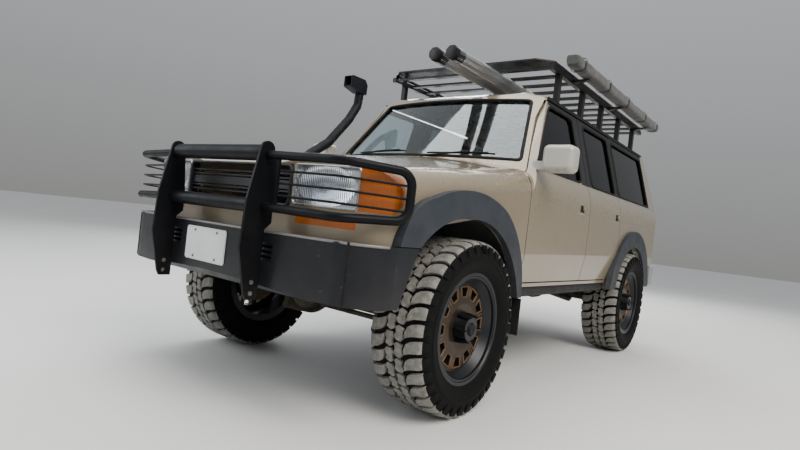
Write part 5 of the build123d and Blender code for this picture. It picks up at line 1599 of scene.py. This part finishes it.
@dataclass
class Seat:
    """One seat's cushion, back, head rests and base.

    Attributes:
        name: The seat's name.
        across: X of its middle.
        distance: Distance of its middle behind the front axle.
        width: Its width.
        rests: Offsets of its head rests from its middle.
        base_edge: How much narrower than the seat its base is.
        base_rise: Rise of the middle of the base over the cabin floor.
        base_size: Depth and height of the base.
    """

    name: str
    across: float
    distance: float
    width: float
    rests: tuple[float, ...]
    base_edge: float = 0.06
    base_rise: float = 0.08
    base_size: tuple[float, float] = (0.46, 0.155)

    def pad(self, part: str, form: PadForm, floor: float, offset: float = 0.0) -> bpy.types.Object:
        """Model a crowned pad whose sides pull in between its corners.

        Args:
            part: What it is.
            form: Its place and form.
            floor: Z of the cabin floor.
            offset: Distance of its middle from the seat's middle, across.

        Returns:
            The pad.
        """
        centre = (self.across + offset, behind(self.distance) + form.back, floor + form.rise)
        size = (form.width or self.width, form.depth, form.height)
        mesh = bmesh.new()
        bmesh.ops.create_cube(mesh, size=1.0)
        bmesh.ops.subdivide_edges(mesh, edges=mesh.edges[:], cuts=7, use_grid_fill=True)
        for vert in mesh.verts:
            x, y, z = vert.co * 2
            waist = 1 - 0.05 * (1 - x * x) * abs(y) - 0.05 * (1 - y * y) * abs(x)
            belly = 1 + form.crown * (1 - x * x) * (1 - y * y)
            channel = 0.03 * math.cos(x * math.pi * 2.5) ** 8 if abs(z) > 0.9 else 0.0
            vert.co = (x * waist * size[0] / 2, y * waist * size[1] / 2, z * (belly - channel) * size[2] / 2)
        for _ in range(2):
            bmesh.ops.smooth_vert(mesh, verts=mesh.verts[:], factor=0.5, use_axis_x=True, use_axis_y=True,
                                  use_axis_z=True)
        mesh.transform(Matrix.Translation(centre) @ Matrix.Rotation(form.turn, 4, "X"))
        pad = to_piece(tidy(mesh), f"{self.name}_{part}", [Finish.SEAT], "body", 60.0)
        rounder = pad.modifiers.new("round", "SUBSURF")
        rounder.levels = rounder.render_levels = 1
        return pad

    def build(self, floor: float) -> list[bpy.types.Object]:
        """Build the seat.

        Args:
            floor: Z of the cabin floor.

        Returns:
            Its pads.
        """
        pads = [self.pad("cushion", CUSHION, floor), self.pad("back", BACKREST, floor)]
        for number, offset in enumerate(self.rests, 1):
            pads.append(self.pad(f"rest_{number}", HEAD_REST, floor, offset))
        mesh = bmesh.new()
        add_box(mesh, (self.across, behind(self.distance), floor + self.base_rise),
                (self.width - self.base_edge, *self.base_size), 0.01)
        to_piece(tidy(mesh), f"{self.name}_base", [Finish.DASH], "body")
        return pads


@dataclass
class Cabin:
    """The seats in the cabin.

    Attributes:
        floor: Rise of the cabin floor.
        seats: The seats.
    """

    floor: float = 0.1303
    seats: tuple[Seat, ...] = (
        Seat("driver_seat", 0.37, 1.33, 0.49, (0.0,)),
        Seat("passenger_seat", -0.37, 1.33, 0.49, (0.0,)),
        Seat("rear_bench", 0.0, 2.16, 1.22, (-0.36, 0.36)),
    )

    def build(self) -> None:
        """Build the seats, which stand for the plain ones."""
        pads = [pad for seat in self.seats for pad in seat.build(above(self.floor))]
        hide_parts("seats")


@dataclass
class Skin:
    """Finishes of the frame's own nodes.

    Attributes:
        shading: Largest angle between faces that shade as one, in degrees.
        finishes: Finish of each node, by the start of its name.
    """

    shading: float = 28.0
    finishes: dict[str, Finish] = field(default_factory=lambda: {
        "body_shell": Finish.PAINT, "roof_panel": Finish.PAINT, "floor_pan": Finish.PAN,
        "front_wings": Finish.PAINT, "bonnet": Finish.PAINT, "hatch": Finish.PAINT,
        "tailgate": Finish.PAINT, "door_": Finish.PAINT, "mirror_": Finish.MIRROR,
        "front_bumper": Finish.BUMPER, "rear_bumper": Finish.BUMPER_REAR,
        "brush_guard": Finish.STEEL_BLACK, "licence_plate": Finish.PLATE,
        "flares": Finish.TRIM, "mud_flaps": Finish.RUBBER, "sills": Finish.SILL, "snorkel": Finish.SNORKEL,
        "grille": Finish.GRILLE, "headlamps": Finish.HEADLAMP, "amber_lamps": Finish.AMBER,
        "tail_lamps": Finish.RED, "windscreen": Finish.SCREEN, "glass_f": Finish.SIDE,
        "glass_r": Finish.TINTED, "glass_cargo": Finish.TINTED, "hatch_glass": Finish.TINTED,
        "roof_rack": Finish.RACK,
        "chassis_frame": Finish.CHASSIS, "suspension": Finish.CHASSIS, "front_axle": Finish.CAST,
        "rear_axle": Finish.CAST, "knuckle_": Finish.CAST, "tie_rod": Finish.CAST, "engine": Finish.CAST,
        "driveline": Finish.CAST, "fuel_tank": Finish.PLAIN_STEEL, "exhaust": Finish.PLAIN_STEEL,
        "dashboard": Finish.DASH, "rim_f": Finish.RIM_FRONT, "rim_r": Finish.RIM_REAR, "seats": Finish.SEAT,
        "awning_bag": Finish.AWNING, "rod_tubes": Finish.ALUMINIUM, "tyre_": Finish.CARCASS,
    })

    def build(self) -> None:
        """Give every node its finish."""
        for name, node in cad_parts.items():
            start = max((key for key in self.finishes if name.startswith(key)), key=len)
            material = self.finishes[start].material()
            for slot in node.material_slots:
                slot.material = material
            node.data.shade_smooth()
            node.data.set_sharp_from_angle(angle=math.radians(self.shading))


@dataclass
class Studio:
    """The pale floor, the soft light and the camera.

    Attributes:
        eye: Place of the camera.
        right: Direction of the picture's right side.
        down: Direction of its lower side.
        lens: Focal length in millimetres.
        sensor: Width of the camera's sensor in millimetres.
        lamps: Name, place, target, length of the side, power and colour of each lamp.
        ground: Half of the length of the floor's side.
        haze: Colour of the surroundings below.
        dome: Colour of the surroundings overhead.
        blend_heights: Heights at which the colour below ends and the colour overhead is whole.
        glow: Strength of the surroundings.
    """

    eye: Point = (2.269, FRONT_AXLE_Y - 2.390, 0.935)
    right: Point = (0.7846, 0.6092, 0.1154)
    down: Point = (0.0945, 0.0664, -0.9933)
    lens: float = 24.48
    sensor: float = 36.0
    lamps: tuple[tuple[str, Point, Point, float, float, Colour], ...] = (
        ("key", (6.0, -3.0, 6.5), (0.0, 0.0, 0.8), 5.0, 800.0, (1.0, 0.96, 0.90)),
        ("fill", (-5.0, -6.0, 4.0), (0.0, -1.0, 0.8), 5.0, 260.0, (0.90, 0.95, 1.0)),
        ("back", (-2.0, 6.5, 5.0), (0.0, 1.0, 1.0), 5.0, 320.0, (1.0, 0.98, 0.95)),
        ("rim", (-6.5, 6.5, 3.4), (0.0, -1.0, 1.0), 6.0, 520.0, (0.88, 0.94, 1.0)),
        ("top", (-0.6, -1.8, 5.4), (0.0, -1.3, 1.1), 3.5, 170.0, (0.95, 0.98, 1.0)),
    )
    ground: float = 40.0
    haze: Colour = (0.34, 0.33, 0.31)
    dome: Colour = (0.90, 0.95, 1.0)
    blend_heights: tuple[float, float] = (-0.15, 0.65)
    glow: float = 0.62

    def floor(self) -> None:
        """Lay the floor."""
        mesh = bmesh.new()
        bmesh.ops.create_grid(mesh, x_segments=1, y_segments=1, size=self.ground)
        data = bpy.data.meshes.new("studio_floor")
        mesh.to_mesh(data)
        mesh.free()
        graph = Graph("pale floor")
        tone = graph.mix(graph.noise(0.6, 3.0), (0.66, 0.65, 0.63), (0.74, 0.73, 0.71))
        graph.set(base_color=tone, roughness=0.9)
        data.materials.append(graph.material)
        floor = bpy.data.objects.new("studio_floor", data)
        bpy.context.scene.collection.objects.link(floor)

    def lamp(self, name: str, place: Point, target: Point, size: float, power: float, colour: Colour) -> None:
        """Hang a square soft light.

        Args:
            name: The light's name.
            place: Its place.
            target: What it points at.
            size: Length of its side.
            power: Its power in watts.
            colour: Its colour.
        """
        data = bpy.data.lights.new(name, "AREA")
        data.size = size
        data.energy = power
        data.color = colour
        light = bpy.data.objects.new(name, data)
        light.location = place
        light.rotation_euler = (Vector(target) - Vector(place)).to_track_quat("-Z", "Y").to_euler()
        light.visible_camera = False
        bpy.context.scene.collection.objects.link(light)

    def surroundings(self) -> None:
        """Light the scene softly from all round, brighter overhead."""
        world = bpy.data.worlds.new("studio surroundings")
        bpy.context.scene.world = world
        world.use_nodes = True
        nodes, links = world.node_tree.nodes, world.node_tree.links
        coords = nodes.new("ShaderNodeTexCoord")
        split = nodes.new("ShaderNodeSeparateXYZ")
        ramp = nodes.new("ShaderNodeMapRange")
        blend = nodes.new("ShaderNodeMix")
        blend.data_type = "RGBA"
        ramp.inputs["From Min"].default_value = self.blend_heights[0]
        ramp.inputs["From Max"].default_value = self.blend_heights[1]
        blend.inputs[6].default_value = (*self.haze, 1.0)
        blend.inputs[7].default_value = (*self.dome, 1.0)
        links.new(coords.outputs["Generated"], split.inputs[0])
        links.new(split.outputs["Z"], ramp.inputs["Value"])
        links.new(ramp.outputs[0], blend.inputs[0])
        links.new(blend.outputs[2], nodes["Background"].inputs["Color"])
        nodes["Background"].inputs["Strength"].default_value = self.glow

    def camera(self) -> None:
        """Set the camera at the photograph's viewing angle."""
        data = bpy.data.cameras.new("camera")
        data.lens = self.lens
        data.sensor_width = self.sensor
        data.clip_start = 0.05
        data.clip_end = 200.0
        camera = bpy.data.objects.new("camera", data)
        right, up = Vector(self.right).normalized(), -Vector(self.down).normalized()
        back = right.cross(up).normalized()
        up = back.cross(right)
        turn = Matrix((right, up, back)).transposed().to_4x4()
        camera.matrix_world = Matrix.Translation(self.eye) @ turn
        bpy.context.scene.collection.objects.link(camera)
        bpy.context.scene.camera = camera

    def build(self) -> None:
        """Build the studio."""
        self.floor()
        self.surroundings()
        for settings in self.lamps:
            self.lamp(*settings)
        self.camera()


def main() -> None:
    """Build every sub-assembly in order and note the model's sizes."""
    logging.basicConfig(level=logging.INFO, format="%(message)s")
    Skin().build()
    place_copies(MudTyre().build(), "mud_tyre", ("tyre",))
    WheelTrim().build()
    BodyTrim().build()
    FrontEnd().build()
    RodTubes().build()
    AwningBag().build()
    Cabin().build()
    Studio().build()


if __name__ == "__main__":
    main()
